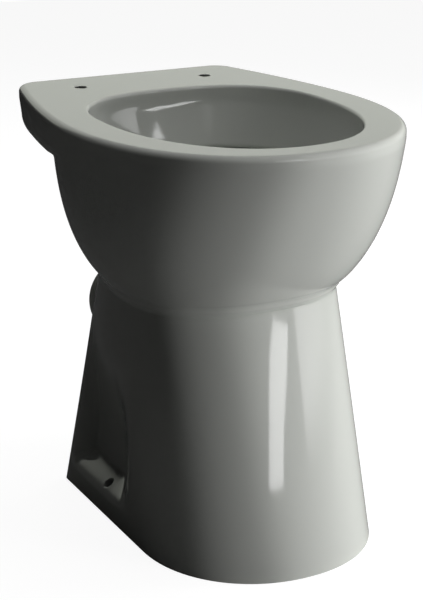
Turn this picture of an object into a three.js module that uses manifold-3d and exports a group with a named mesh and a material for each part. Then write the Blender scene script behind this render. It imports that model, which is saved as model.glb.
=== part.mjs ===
// Floor-standing WC pan at a raised height, with an open box rim and a horizontal outlet.
// It is built the way a pottery builds it, from vitreous china castings that are luted together.
// Sizes are millimetres. X runs across the pan, the front of the bowl faces -Y and Z points up.
// The origin is on the floor, at the middle of the pan's width and depth.
import * as THREE from 'three';
import { mergeVertices } from 'three/addons/utils/BufferGeometryUtils.js';
import Module from 'manifold-3d';

const wasm = await Module();
wasm.setup();

// Overall sizes. Every depth is measured forwards from the rear edge of the deck.
const PAN_HEIGHT = 460;
const PAN_DEPTH = 473;
const RIM_HALF_WIDTH = 178;

// Walls, the clearance of a joint and the overrun of every cut
const SHELL_WALL = 9;
const FOOT_WALL = 10;
const BASIN_WALL = 8;
const TRAP_WALL = 7;
const DECK_THICKNESS = 12;
const DECK_FLOOR = 8;
const JOINT_GAP = 0.3;
const OVERRUN = 15;

// Foot on the floor
const BASE_HALF_WIDTH = 131.5;
const BASE_WIDEST_DEPTH = 322;
const BASE_FRONT_DEPTH = 456;
const BASE_REAR_HALF_WIDTH = 131;
const BASE_CORNER_RADIUS = 12;
const FOOT_REAR_DEPTH = 99;

// Waist, where the foot meets the bowl
const WAIST_HEIGHT = 275;
const WAIST_HALF_WIDTH = 122;
const WAIST_WIDEST_DEPTH = 260;
const WAIST_FRONT_DEPTH = 365;
const WAIST_REAR_HALF_WIDTH = 74;
const WAIST_CORNER_RADIUS = 13;
const WAIST_SOFTENING = 11;

// Bowl, where it reaches its full size under the rim. Drops are measured down from the rim's top.
const BOWL_TOP_DROP = 14;
const BOWL_REAR_DEPTH = 94;
const BOWL_REAR_HALF_WIDTH = 127;
const BOWL_CORNER_RADIUS = 60;
const RIM_WIDEST_DEPTH = 250;

// Rear deck, which overhangs the back of the bowl. A tuck is how far its edge draws in at the underside.
const DECK_REAR_HALF_WIDTH = 134;
const DECK_CORNER_RADIUS = 20;
const DECK_SKIRT_DROP = 32.5;
const DECK_EDGE_DROP = 34.8;
const DECK_REAR_TUCK = 54.4;
const DECK_CORNER_TUCK = 15.7;
const DECK_SIDE_TUCK = 85;
const DECK_FLOOR_ROUND = 3;
const DECK_BLEND = 16;
const SKIRT_DRAFT = 1.8;

// Rim and the throat inside it
const RIM_JOINT_DROP = 81;
const RIM_SKIRT_GAP = 10;
const RIM_EDGE_RADIUS = 9;
const LIP_RADIUS = 8;
const THROAT_HALF_WIDTH = 119;
const THROAT_WIDEST_DEPTH = 251.7;
const THROAT_FRONT_DEPTH = 426;
const THROAT_REAR_DEPTH = 119.5;

// Seat holes with the pockets under them, and the flush inlet in the deck's rear face
const SEAT_HOLE_PITCH = 160;
const SEAT_HOLE_DEPTH = 61;
const SEAT_HOLE_DIAMETER = 14;
const SEAT_POCKET_DIAMETER = 36;
const SEAT_BOSS_DIAMETER = 52;
const INLET_DROP = 34;
const INLET_BORE_DIAMETER = 40;
const INLET_BOSS_DIAMETER = 58;
const INLET_BOSS_LENGTH = 44;

// Basin
const BASIN_TOP_HALF_WIDTH = 127;
const BASIN_TOP_WIDEST_DEPTH = 252;
const BASIN_TOP_REAR_DEPTH = 113;
const BASIN_FRONT_SPACING = 20;
const BASIN_FLANGE_THICKNESS = 8;

// Water trap, measured on its centre line. The inlet's drop is below the waist, the dip's below the inlet.
const TRAP_INLET_DEPTH = 304;
const TRAP_INLET_DROP = 75;
const TRAP_BORE_RADIUS = 28;
const TRAP_BEND_RADIUS = 40;
const TRAP_DIP_DROP = 14;
const WEIR_BEND_DEPTH = 176;
const WEIR_BEND_RISE = 23;
const OUTLET_HEIGHT = 180;
const OUTLET_BEND_RADIUS = 62;
const OUTLET_BEND_DEPTH = 69;
const SPIGOT_RADIUS = 51;
const SPIGOT_BORE_RADIUS = 42;
const SPIGOT_EDGE_RADIUS = 3;

// Web under the trap, between the foot's side walls, with an arch cut out of its underside
const BRIDGE_DEPTH = 246;
const BRIDGE_THICKNESS = 12;
const BRIDGE_FOOT_HEIGHT = 62;
const BRIDGE_ARCH_RISE = 42;
const BRIDGE_TOP_RISE = 4;

// Opening in the back of the foot. Its drop is below the waist.
const BACK_FLANGE_WIDTH = 22;
const BACK_OPENING_DROP = 11;
const BACK_OPENING_ROUND = 26;

// Scooped recess in each side of the foot, with its ledge and slanted screw hole
const SCOOP_DEPTH = 24;
const SCOOP_FLANGE_DEPTH = 111;
const SCOOP_VALLEY_DEPTH = 130;
const SCOOP_FULL_DEPTH = 215;
const SCOOP_FADE_DEPTH = 290;
const LEDGE_LOW_HEIGHT = 20;
const LEDGE_HIGH_HEIGHT = 46;
const SCOOP_TAPER_HEIGHT = 70;
const SCOOP_TOP_HEIGHT = 214;
const SCREW_HOLE_DEPTH = 206;
const SCREW_HOLE_DIAMETER = 12;
const SCREW_BOSS_DIAMETER = 30;

// Shape shares: powers of the outlines and of the curves that lead from one outline to the next
const NOSE_SHARES = { base: 2.1, waist: 2.37, rim: 2.2, throat: 2.14, bore: 2 };
const SIDE_SHARES = { foot: 2, rim: 1.72, deck: 1.61, throat: 2.3 };
const WIDTH_SWELL_SHARES = [2.54, 1.17];
const FRONT_SWELL_SHARES = [1.02, 1.53];
const REAR_SWELL_SHARE = 0.48;
const CORNER_SWELL_SHARE = 0.5;
const BASIN_SIDE_SHARE = 1.6;
const BASIN_REAR_SHARE = 1.75;
const CORNER_HANDLE_SHARE = 0.55;
const WEIR_RISE_ANGLE_SHARE = 170 / 180;
const WEIR_FALL_ANGLE_SHARE = 30 / 180;
const TRAP_JOINT_SHARE = 0.39;
const OUTLET_FLARE_SHARE = 0.7;
const LEDGE_SLANT_SHARE = 1 / 4;
const SPINE_SHARE = 0.423;

// Counts of the facets
const ZONE_SHARES = [0, 0.13, 0.33, 1];
const ZONE_COUNTS = [2, 10, 17];
const EGG_COUNT = 48;
const TRAP_SIDE_COUNT = 20;
const TRAP_DIP_STATION_COUNT = 10;
const TRAP_WEIR_STATION_COUNT = 15;
const BORE_SIDE_COUNT = 24;
const CURVE_COUNT = 20;

// Sizes worked out from the ones above
const REAR_Y = PAN_DEPTH / 2;
const SPINE_DEPTH = PAN_DEPTH * SPINE_SHARE;
const BOWL_TOP_HEIGHT = PAN_HEIGHT - BOWL_TOP_DROP;
const DECK_SKIRT_HEIGHT = PAN_HEIGHT - DECK_SKIRT_DROP;
const DECK_BOTTOM_HEIGHT = DECK_SKIRT_HEIGHT - DECK_EDGE_DROP;
const RIM_JOINT_HEIGHT = PAN_HEIGHT - RIM_JOINT_DROP;
const RIM_SKIRT_HEIGHT = RIM_JOINT_HEIGHT + RIM_SKIRT_GAP;
const INLET_HEIGHT = PAN_HEIGHT - INLET_DROP;
const TRAP_INLET_HEIGHT = WAIST_HEIGHT - TRAP_INLET_DROP;
const TRAP_DIP_HEIGHT = TRAP_INLET_HEIGHT - TRAP_DIP_DROP;
const WEIR_BEND_HEIGHT = TRAP_INLET_HEIGHT + WEIR_BEND_RISE;
const BRIDGE_TOP_HEIGHT = TRAP_DIP_HEIGHT - TRAP_BEND_RADIUS + BRIDGE_TOP_RISE;
const BRIDGE_ARCH_HEIGHT = BRIDGE_FOOT_HEIGHT + BRIDGE_ARCH_RISE;
const BACK_OPENING_HEIGHT = WAIST_HEIGHT - BACK_OPENING_DROP;
const DECK_CEILING_HEIGHT = PAN_HEIGHT - DECK_THICKNESS;
const yAt = (depth) => REAR_Y - depth;

const { lerp, smoothstep, clamp } = THREE.MathUtils;

// Glazed white of the ware
const glaze = () => new THREE.MeshStandardMaterial({ color: 0xc8cbc3, roughness: 0.12, metalness: 0 });

// Turn a closed geometry into a solid that can be joined and cut
function toSolid(geometry) {
  const bare = geometry.clone();
  bare.deleteAttribute('normal');
  bare.deleteAttribute('uv');
  const merged = mergeVertices(bare);
  const mesh = new wasm.Mesh({
    numProp: 3,
    vertProperties: new Float32Array(merged.attributes.position.array),
    triVerts: new Uint32Array(merged.index.array),
  });
  return new wasm.Manifold(mesh);
}

// Turn a solid into a named mesh
function toMesh(solid, name) {
  const { vertProperties, triVerts } = solid.getMesh();
  const geometry = new THREE.BufferGeometry();
  geometry.setAttribute('position', new THREE.BufferAttribute(vertProperties, 3));
  geometry.setIndex(new THREE.BufferAttribute(triVerts, 1));
  geometry.computeVertexNormals();
  const mesh = new THREE.Mesh(geometry, glaze());
  mesh.name = name;
  return mesh;
}

// Skin a row of rings, each with the same number of points. A fan closes each end, or the last ring
// leads back to the first.
function loft(rings, isClosed = false) {
  const count = rings[0].length;
  const positions = rings.flat().flatMap((point) => point.toArray());
  const triangles = [];
  for (let row = 0; row < rings.length - (isClosed ? 0 : 1); row += 1) {
    for (let side = 0; side < count; side += 1) {
      const next = (side + 1) % count;
      const low = row * count;
      const high = ((row + 1) % rings.length) * count;
      triangles.push(low + side, low + next, high + next);
      triangles.push(low + side, high + next, high + side);
    }
  }
  const close = (ring, start, flip) => {
    const hub = positions.length / 3;
    const middle = ring.reduce((sum, point) => sum.add(point), new THREE.Vector3()).divideScalar(count);
    positions.push(...middle.toArray());
    for (let side = 0; side < count; side += 1) {
      const next = (side + 1) % count;
      const pair = flip ? [next, side] : [side, next];
      triangles.push(hub, start + pair[0], start + pair[1]);
    }
  };
  if (!isClosed) {
    close(rings[0], 0, true);
    close(rings.at(-1), (rings.length - 1) * count, false);
  }
  const geometry = new THREE.BufferGeometry();
  geometry.setAttribute('position', new THREE.Float32BufferAttribute(positions, 3));
  geometry.setIndex(triangles);
  return toSolid(geometry);
}

// A round bar between two points
function bar(start, end, radius) {
  const along = end.clone().sub(start);
  const geometry = new THREE.CylinderGeometry(radius, radius, along.length(), BORE_SIDE_COUNT);
  geometry.applyQuaternion(new THREE.Quaternion().setFromUnitVectors(
    new THREE.Vector3(0, 1, 0),
    along.clone().normalize(),
  ));
  const middle = start.clone().lerp(end, 1 / 2);
  geometry.translate(middle.x, middle.y, middle.z);
  return toSolid(geometry);
}

// Outlines of the foot, the waist, the top of the bowl and the deck, seen from above
const BASE_OUTLINE = {
  halfWidth: BASE_HALF_WIDTH,
  widest: BASE_WIDEST_DEPTH,
  front: BASE_FRONT_DEPTH,
  rearHalfWidth: BASE_REAR_HALF_WIDTH,
  rear: FOOT_REAR_DEPTH,
  corner: BASE_CORNER_RADIUS,
  nose: NOSE_SHARES.base,
  side: SIDE_SHARES.foot,
};
const WAIST_OUTLINE = {
  halfWidth: WAIST_HALF_WIDTH,
  widest: WAIST_WIDEST_DEPTH,
  front: WAIST_FRONT_DEPTH,
  rearHalfWidth: WAIST_REAR_HALF_WIDTH,
  rear: FOOT_REAR_DEPTH,
  corner: WAIST_CORNER_RADIUS,
  nose: NOSE_SHARES.waist,
  side: SIDE_SHARES.foot,
};
const BOWL_OUTLINE = {
  halfWidth: RIM_HALF_WIDTH,
  widest: RIM_WIDEST_DEPTH,
  front: PAN_DEPTH,
  rearHalfWidth: BOWL_REAR_HALF_WIDTH,
  rear: BOWL_REAR_DEPTH,
  corner: BOWL_CORNER_RADIUS,
  nose: NOSE_SHARES.rim,
  side: SIDE_SHARES.rim,
};

// An outline part of the way from one to another, with a share of its own for some of the sizes
function mixOutlines(from, to, share, ownShares = {}) {
  return Object.fromEntries(Object.keys(from).map((key) => (
    [key, lerp(from[key], to[key], ownShares[key] ?? share)]
  )));
}

// A rise from 0 to 1 that starts steep and ends gently
function swell(share, [start, end]) {
  return (1 - (1 - share) ** start) ** (1 / end);
}

// The bare outline at a height: straight sides on the foot, swelling ones on the bowl
function plainOutline(height) {
  if (height <= WAIST_HEIGHT) {
    return mixOutlines(BASE_OUTLINE, WAIST_OUTLINE, height / WAIST_HEIGHT);
  }
  const share = clamp((height - WAIST_HEIGHT) / (BOWL_TOP_HEIGHT - WAIST_HEIGHT), 0, 1);
  return mixOutlines(WAIST_OUTLINE, BOWL_OUTLINE, share, {
    halfWidth: swell(share, WIDTH_SWELL_SHARES),
    front: swell(share, FRONT_SWELL_SHARES),
    rearHalfWidth: share ** REAR_SWELL_SHARE,
    corner: share ** CORNER_SWELL_SHARE,
  });
}

// The outline with the crease at the waist softened, as the glaze and the mould leave it
function bodyOutline(height) {
  const offset = Math.abs(height - WAIST_HEIGHT);
  const reach = WAIST_SOFTENING * Math.max(0, 1 - offset / (2 * WAIST_SOFTENING));
  const far = mixOutlines(plainOutline(height - reach), plainOutline(height + reach), 1 / 2);
  const near = mixOutlines(plainOutline(height - reach / 2), plainOutline(height + reach / 2), 1 / 2);
  return mixOutlines(far, near, 1 / 2);
}

// The deck's outline at a height: a skirt with a little draft, over an edge rounded far inwards
function deckOutline(height) {
  const body = bodyOutline(height);
  const fall = clamp((DECK_SKIRT_HEIGHT - height) / DECK_EDGE_DROP, 0, 1);
  const tuck = 1 - Math.sqrt(1 - fall ** 2);
  const skirtShare = (BOWL_TOP_HEIGHT - height) / (BOWL_TOP_HEIGHT - DECK_SKIRT_HEIGHT);
  const draft = SKIRT_DRAFT * clamp(skirtShare, 0, 1);
  return {
    ...body,
    halfWidth: body.halfWidth - DECK_SIDE_TUCK * tuck,
    front: body.front - DECK_SIDE_TUCK * tuck,
    rearHalfWidth: DECK_REAR_HALF_WIDTH - DECK_CORNER_TUCK * tuck - draft,
    rear: DECK_REAR_TUCK * tuck + draft,
    corner: DECK_CORNER_RADIUS,
    side: SIDE_SHARES.deck,
  };
}

// The same outline moved inwards by a wall
function insetOutline(outline, wall) {
  return {
    ...outline,
    halfWidth: outline.halfWidth - wall,
    front: outline.front - wall,
    rearHalfWidth: outline.rearHalfWidth - wall,
    rear: outline.rear + wall,
    corner: Math.max(outline.corner - wall, 0),
  };
}

// Half of an outline as points, from the middle of the rear edge round the corner and side to the nose.
// Each point holds its distance from the centre plane and its distance behind the spine.
function halfPoints(outline) {
  const { halfWidth, widest, front, rearHalfWidth, rear, corner, nose, side } = outline;
  const sideAt = (depth) => (
    halfWidth - (halfWidth - rearHalfWidth) * ((widest - depth) / (widest - rear)) ** side
  );
  const point = (x, depth) => new THREE.Vector2(x, SPINE_DEPTH - depth);
  const cornerEnd = point(sideAt(rear + corner), rear + corner);
  const cornerStart = point(rearHalfWidth - corner, rear);
  const tip = point(rearHalfWidth, rear);
  const bend = new THREE.CubicBezierCurve(
    cornerStart,
    cornerStart.clone().lerp(tip, CORNER_HANDLE_SHARE),
    cornerEnd.clone().lerp(tip, CORNER_HANDLE_SHARE),
    cornerEnd,
  );
  const points = [point(0, rear), ...bend.getPoints(CURVE_COUNT)];
  for (let step = 1; step <= CURVE_COUNT; step += 1) {
    const depth = lerp(rear + corner, widest, step / CURVE_COUNT);
    points.push(point(sideAt(depth), depth));
  }
  for (let step = 1; step <= 2 * CURVE_COUNT; step += 1) {
    const angle = (Math.PI / 2) * (step / (2 * CURVE_COUNT));
    const x = halfWidth * Math.max(Math.cos(angle), 0) ** (2 / nose);
    points.push(point(x, widest + (front - widest) * Math.sin(angle) ** (2 / nose)));
  }
  return points;
}

// How far an outline reaches from the spine in a direction, with 0 to the rear and pi to the front
function reachAt(points, angle) {
  const across = new THREE.Vector2(Math.cos(angle), -Math.sin(angle));
  for (let index = 1; index < points.length; index += 1) {
    const before = points[index - 1].dot(across);
    const after = points[index].dot(across);
    if (before <= 0 && after >= 0) {
      const share = before === after ? 0 : before / (before - after);
      return points[index - 1].clone().lerp(points[index], share).length();
    }
  }
  return points.at(-1).length();
}

// Directions of the outline's points, closer together round the rear corners
function directions() {
  const angles = [0];
  ZONE_COUNTS.forEach((count, zone) => {
    for (let step = 1; step <= count; step += 1) {
      angles.push(Math.PI * lerp(ZONE_SHARES[zone], ZONE_SHARES[zone + 1], step / count));
    }
  });
  return angles;
}

// How deep the side recess of the foot is at a place
function scoopAt(depth, height) {
  const rise = smoothstep(height, LEDGE_LOW_HEIGHT, LEDGE_HIGH_HEIGHT);
  const fade = 1 - smoothstep(height, SCOOP_TAPER_HEIGHT, SCOOP_TOP_HEIGHT);
  const step = smoothstep(depth, SCOOP_FLANGE_DEPTH, SCOOP_VALLEY_DEPTH);
  const blend = 1 - smoothstep(depth, SCOOP_FULL_DEPTH, SCOOP_FADE_DEPTH);
  return SCOOP_DEPTH * rise * fade * step * blend;
}

// One closed ring of the body at a height. The wall moves it inwards, and the floor lifts the inside
// of the deck above its underside.
function bodyRing(height, wall = 0, floor = 0) {
  const body = halfPoints(insetOutline(bodyOutline(height), wall));
  const deckHeight = height - floor;
  const hasDeck = deckHeight >= DECK_BOTTOM_HEIGHT;
  const deck = hasDeck ? halfPoints(insetOutline(deckOutline(deckHeight), wall)) : body;
  const blend = DECK_BLEND * clamp((DECK_SKIRT_HEIGHT - deckHeight) / DECK_EDGE_DROP, 0, 1);
  const right = directions().map((angle) => {
    const inner = reachAt(body, angle);
    const proud = Math.max(0, reachAt(deck, angle) - inner);
    const reach = inner + (proud < blend ? proud * smoothstep(proud, 0, blend) : proud);
    const depth = SPINE_DEPTH - reach * Math.cos(angle);
    const x = reach * Math.sin(angle) - scoopAt(depth, height);
    return new THREE.Vector3(Math.max(x, 0), yAt(depth), height);
  });
  const left = right.map((point) => new THREE.Vector3(-point.x, point.y, point.z));
  return [...left, ...right.slice(1, -1).reverse()];
}

// One egg-shaped ring, for the throat of the rim and the basin
function eggRing({ halfWidth, widest, front, rear, nose, tail }, height) {
  return Array.from({ length: EGG_COUNT }, (_, index) => {
    const angle = (2 * Math.PI * index) / EGG_COUNT;
    const forward = Math.cos(angle) < 0;
    const power = 2 / (forward ? nose : tail);
    const along = Math.abs(Math.cos(angle)) ** power * (forward ? front - widest : widest - rear);
    const across = halfWidth * Math.abs(Math.sin(angle)) ** power;
    return new THREE.Vector3(
      -across * Math.sign(Math.sin(angle)),
      yAt(widest) + (forward ? -along : along),
      height,
    );
  });
}

// The throat's outline, grown outwards by a wall or a lip
function throatOutline(grow) {
  return {
    halfWidth: THROAT_HALF_WIDTH + grow,
    widest: THROAT_WIDEST_DEPTH,
    front: THROAT_FRONT_DEPTH + grow,
    rear: THROAT_REAR_DEPTH - grow,
    nose: NOSE_SHARES.throat,
    tail: SIDE_SHARES.throat,
  };
}

// Shares from 0 to 1, evenly spaced
function evenShares(count) {
  return Array.from({ length: count + 1 }, (_, index) => index / count);
}

// Heights between two values, evenly spaced
function heightsBetween(low, high, count) {
  return evenShares(count).map((share) => lerp(low, high, share));
}

// Rim and deck: a hollow box rim, open below to let the flush water out, in one casting with the deck
function rimAndDeck() {
  const edgeStart = PAN_HEIGHT - RIM_EDGE_RADIUS;
  const quarter = Math.PI / 2;
  const roundedUnder = evenShares(5).map((share) => (
    DECK_SKIRT_HEIGHT - DECK_EDGE_DROP * Math.cos(share * quarter)
  ));
  const wallHeights = [
    RIM_JOINT_HEIGHT,
    DECK_BOTTOM_HEIGHT - DECK_FLOOR_ROUND,
    ...roundedUnder,
    BOWL_TOP_HEIGHT,
  ];
  const edgeRings = evenShares(4).map((share) => bodyRing(
    edgeStart + RIM_EDGE_RADIUS * Math.sin(share * quarter),
    RIM_EDGE_RADIUS * (1 - Math.cos(share * quarter)),
  ));
  const outer = loft([...wallHeights.map((height) => bodyRing(height)), ...edgeRings]);

  const hollowHeights = [
    RIM_JOINT_HEIGHT - OVERRUN,
    DECK_BOTTOM_HEIGHT + DECK_FLOOR - DECK_FLOOR_ROUND,
    DECK_BOTTOM_HEIGHT + DECK_FLOOR,
    ...heightsBetween(DECK_BOTTOM_HEIGHT + DECK_FLOOR, DECK_CEILING_HEIGHT, 4).slice(1),
  ];
  const hollow = loft(hollowHeights.map((height) => bodyRing(height, SHELL_WALL, DECK_FLOOR)));

  const skirt = loft([
    eggRing(throatOutline(SHELL_WALL), RIM_SKIRT_HEIGHT),
    eggRing(throatOutline(SHELL_WALL), DECK_CEILING_HEIGHT + DECK_THICKNESS / 2),
  ]);
  const lipStart = PAN_HEIGHT - LIP_RADIUS;
  const throat = loft([
    eggRing(throatOutline(0), RIM_JOINT_HEIGHT - OVERRUN),
    ...evenShares(4).map((share) => eggRing(
      throatOutline(LIP_RADIUS * (1 - Math.cos(share * quarter))),
      lipStart + LIP_RADIUS * Math.sin(share * quarter),
    )),
    eggRing(throatOutline(LIP_RADIUS), PAN_HEIGHT + OVERRUN),
  ]);

  const inletPoint = (depth) => new THREE.Vector3(0, yAt(depth), INLET_HEIGHT);
  const inletBoss = bar(inletPoint(-OVERRUN), inletPoint(INLET_BOSS_LENGTH), INLET_BOSS_DIAMETER / 2);
  const boreEnd = inletPoint(INLET_BOSS_LENGTH + OVERRUN);
  const inletBore = bar(inletPoint(-OVERRUN), boreEnd, INLET_BORE_DIAMETER / 2);

  let shell = outer.subtract(hollow).add(outer.intersect(skirt)).add(outer.intersect(inletBoss));
  for (const side of [-1, 1]) {
    const seatPoint = (height) => new THREE.Vector3(
      (side * SEAT_HOLE_PITCH) / 2,
      yAt(SEAT_HOLE_DEPTH),
      height,
    );
    const low = seatPoint(RIM_JOINT_HEIGHT - OVERRUN);
    const boss = bar(low, seatPoint(PAN_HEIGHT), SEAT_BOSS_DIAMETER / 2);
    const pocket = bar(low, seatPoint(DECK_CEILING_HEIGHT), SEAT_POCKET_DIAMETER / 2);
    const hole = bar(low, seatPoint(PAN_HEIGHT + OVERRUN), SEAT_HOLE_DIAMETER / 2);
    shell = shell.add(outer.intersect(boss)).subtract(pocket).subtract(hole);
  }
  return toMesh(shell.subtract(throat).subtract(inletBore), 'rim_and_deck');
}

// Outer bowl: the shell between the waist joint and the rim joint
function outerBowl() {
  const heights = [
    WAIST_HEIGHT,
    WAIST_HEIGHT + WAIST_SOFTENING / 2,
    WAIST_HEIGHT + WAIST_SOFTENING,
    WAIST_HEIGHT + 2 * WAIST_SOFTENING,
    ...heightsBetween(WAIST_HEIGHT + 2 * WAIST_SOFTENING, RIM_JOINT_HEIGHT, 4).slice(1),
  ];
  const outer = loft(heights.map((height) => bodyRing(height)));
  const insideHeights = [
    WAIST_HEIGHT - OVERRUN,
    ...heightsBetween(WAIST_HEIGHT, RIM_JOINT_HEIGHT - BASIN_FLANGE_THICKNESS, 5),
    RIM_JOINT_HEIGHT,
    RIM_JOINT_HEIGHT + OVERRUN,
  ];
  const inside = loft(insideHeights.map((height) => (
    bodyRing(Math.min(height, RIM_JOINT_HEIGHT), SHELL_WALL).map((point) => point.setZ(height))
  )));
  return toMesh(outer.subtract(inside), 'outer_bowl');
}

// The basin's inside outline at a height
function basinOutline(height) {
  const share = (height - TRAP_INLET_HEIGHT) / (RIM_JOINT_HEIGHT - TRAP_INLET_HEIGHT);
  const boreRear = TRAP_INLET_DEPTH - TRAP_BORE_RADIUS;
  const boreFront = TRAP_INLET_DEPTH + TRAP_BORE_RADIUS;
  const waistShare = clamp((height - TRAP_INLET_HEIGHT) / (WAIST_HEIGHT - TRAP_INLET_HEIGHT), 0, 1);
  const waistFront = WAIST_FRONT_DEPTH - BASIN_FRONT_SPACING;
  const front = height > WAIST_HEIGHT
    ? plainOutline(height).front - BASIN_FRONT_SPACING
    : lerp(boreFront, waistFront, waistShare);
  const sideShare = 1 - (1 - share) ** BASIN_SIDE_SHARE;
  return {
    halfWidth: lerp(TRAP_BORE_RADIUS, BASIN_TOP_HALF_WIDTH, sideShare),
    widest: lerp(TRAP_INLET_DEPTH, BASIN_TOP_WIDEST_DEPTH, sideShare),
    front,
    rear: lerp(boreRear, BASIN_TOP_REAR_DEPTH, share ** BASIN_REAR_SHARE),
    nose: lerp(NOSE_SHARES.bore, NOSE_SHARES.throat, share),
    tail: lerp(NOSE_SHARES.bore, SIDE_SHARES.throat, share),
  };
}

// Basin: the inner bowl, with a flange that is luted inside the outer bowl under the rim
function basin() {
  const heights = heightsBetween(TRAP_INLET_HEIGHT, RIM_JOINT_HEIGHT, 9);
  const grow = (outline, wall) => ({
    ...outline,
    halfWidth: outline.halfWidth + wall,
    front: outline.front + wall,
    rear: outline.rear - wall,
  });
  const outside = loft(heights.map((height) => eggRing(grow(basinOutline(height), BASIN_WALL), height)));
  const insideRings = heights.map((height) => eggRing(basinOutline(height), height));
  const inside = loft([
    insideRings[0].map((point) => point.clone().setZ(TRAP_INLET_HEIGHT - OVERRUN)),
    ...insideRings,
    insideRings.at(-1).map((point) => point.clone().setZ(RIM_JOINT_HEIGHT + OVERRUN)),
  ]);
  const flange = loft([
    bodyRing(RIM_JOINT_HEIGHT - BASIN_FLANGE_THICKNESS, SHELL_WALL + JOINT_GAP),
    bodyRing(RIM_JOINT_HEIGHT, SHELL_WALL + JOINT_GAP),
  ]);
  return toMesh(outside.add(flange).subtract(inside), 'basin');
}

// Rings of the space inside the foot, from the floor or below it up to a height
function footInside(wall, low) {
  const heights = [
    0,
    LEDGE_LOW_HEIGHT,
    (LEDGE_LOW_HEIGHT + LEDGE_HIGH_HEIGHT) / 2,
    LEDGE_HIGH_HEIGHT,
    ...heightsBetween(LEDGE_HIGH_HEIGHT, WAIST_HEIGHT - WAIST_SOFTENING, 3).slice(1),
    WAIST_HEIGHT,
  ];
  const rings = heights.map((height) => bodyRing(height, wall));
  const below = rings[0].map((point) => point.clone().setZ(low));
  const above = rings.at(-1).map((point) => point.clone().setZ(WAIST_HEIGHT + OVERRUN));
  return loft([...(low < 0 ? [below] : []), ...rings, above]);
}

// The slanted screw line of one side: the middle of the ledge and the way into the foot
function screwLine(side) {
  const ledgeHeight = (LEDGE_LOW_HEIGHT + LEDGE_HIGH_HEIGHT) / 2;
  const ledgeX = BASE_HALF_WIDTH - scoopAt(SCREW_HOLE_DEPTH, ledgeHeight);
  const slant = Math.PI * LEDGE_SLANT_SHARE;
  const middle = new THREE.Vector3(side * ledgeX, yAt(SCREW_HOLE_DEPTH), ledgeHeight);
  const inwards = new THREE.Vector3(-side * Math.cos(slant), 0, -Math.sin(slant));
  return { middle, inwards };
}

// A bar along the screw line, from outside the ledge to below the floor
function screwBar(side, radius) {
  const { middle, inwards } = screwLine(side);
  const length = (middle.z + OVERRUN) / -inwards.z;
  return bar(
    middle.clone().addScaledVector(inwards, -2 * OVERRUN),
    middle.clone().addScaledVector(inwards, length + OVERRUN),
    radius,
  );
}

// Pedestal: the foot shell, open on the floor and at the back between two flanges
function pedestal() {
  const ledgeHeights = heightsBetween(LEDGE_LOW_HEIGHT, LEDGE_HIGH_HEIGHT, 4);
  const scoopHeights = heightsBetween(LEDGE_HIGH_HEIGHT, SCOOP_TOP_HEIGHT, 5).slice(1);
  const heights = [
    0,
    ...ledgeHeights,
    ...scoopHeights,
    WAIST_HEIGHT - 2 * WAIST_SOFTENING,
    WAIST_HEIGHT - WAIST_SOFTENING,
    WAIST_HEIGHT - WAIST_SOFTENING / 2,
    WAIST_HEIGHT,
  ];
  const outer = loft(heights.map((height) => bodyRing(height)));
  const shape = new THREE.Shape();
  const footX = BASE_REAR_HALF_WIDTH - BACK_FLANGE_WIDTH;
  const topX = WAIST_REAR_HALF_WIDTH - BACK_FLANGE_WIDTH;
  const shoulder = BACK_OPENING_HEIGHT - BACK_OPENING_ROUND;
  const shoulderX = lerp(footX, topX, shoulder / WAIST_HEIGHT);
  shape.moveTo(-footX, 0);
  shape.lineTo(-footX, -OVERRUN);
  shape.lineTo(footX, -OVERRUN);
  shape.lineTo(footX, 0);
  shape.lineTo(shoulderX, shoulder);
  shape.quadraticCurveTo(topX, BACK_OPENING_HEIGHT, topX - BACK_OPENING_ROUND, BACK_OPENING_HEIGHT);
  shape.lineTo(BACK_OPENING_ROUND - topX, BACK_OPENING_HEIGHT);
  shape.quadraticCurveTo(-topX, BACK_OPENING_HEIGHT, -shoulderX, shoulder);
  const cutDepth = 2 * FOOT_WALL;
  const backCut = new THREE.ExtrudeGeometry(shape, { depth: cutDepth, bevelEnabled: false });
  backCut.rotateX(Math.PI / 2);
  backCut.translate(0, yAt(FOOT_REAR_DEPTH - FOOT_WALL / 2), 0);
  let shell = outer.subtract(footInside(FOOT_WALL, -OVERRUN)).subtract(toSolid(backCut));
  for (const side of [-1, 1]) {
    shell = shell.subtract(screwBar(side, SCREW_HOLE_DIAMETER / 2));
  }
  return toMesh(shell, 'pedestal');
}

// The trap's centre line, in the plane of symmetry: down the dip, up over the weir and down to the outlet
function trapLine() {
  const path = new THREE.Path();
  const fall = Math.PI * WEIR_FALL_ANGLE_SHARE;
  const rise = Math.PI * WEIR_RISE_ANGLE_SHARE;
  const dipY = yAt(TRAP_INLET_DEPTH) + TRAP_BEND_RADIUS;
  path.moveTo(yAt(TRAP_INLET_DEPTH), TRAP_INLET_HEIGHT);
  path.absarc(dipY, TRAP_DIP_HEIGHT, TRAP_BEND_RADIUS, Math.PI, Math.PI + rise, false);
  path.absarc(yAt(WEIR_BEND_DEPTH), WEIR_BEND_HEIGHT, TRAP_BEND_RADIUS, rise, fall, true);
  path.absarc(
    yAt(OUTLET_BEND_DEPTH),
    OUTLET_HEIGHT + OUTLET_BEND_RADIUS,
    OUTLET_BEND_RADIUS,
    Math.PI + fall,
    (3 * Math.PI) / 2,
    false,
  );
  return path;
}

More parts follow.
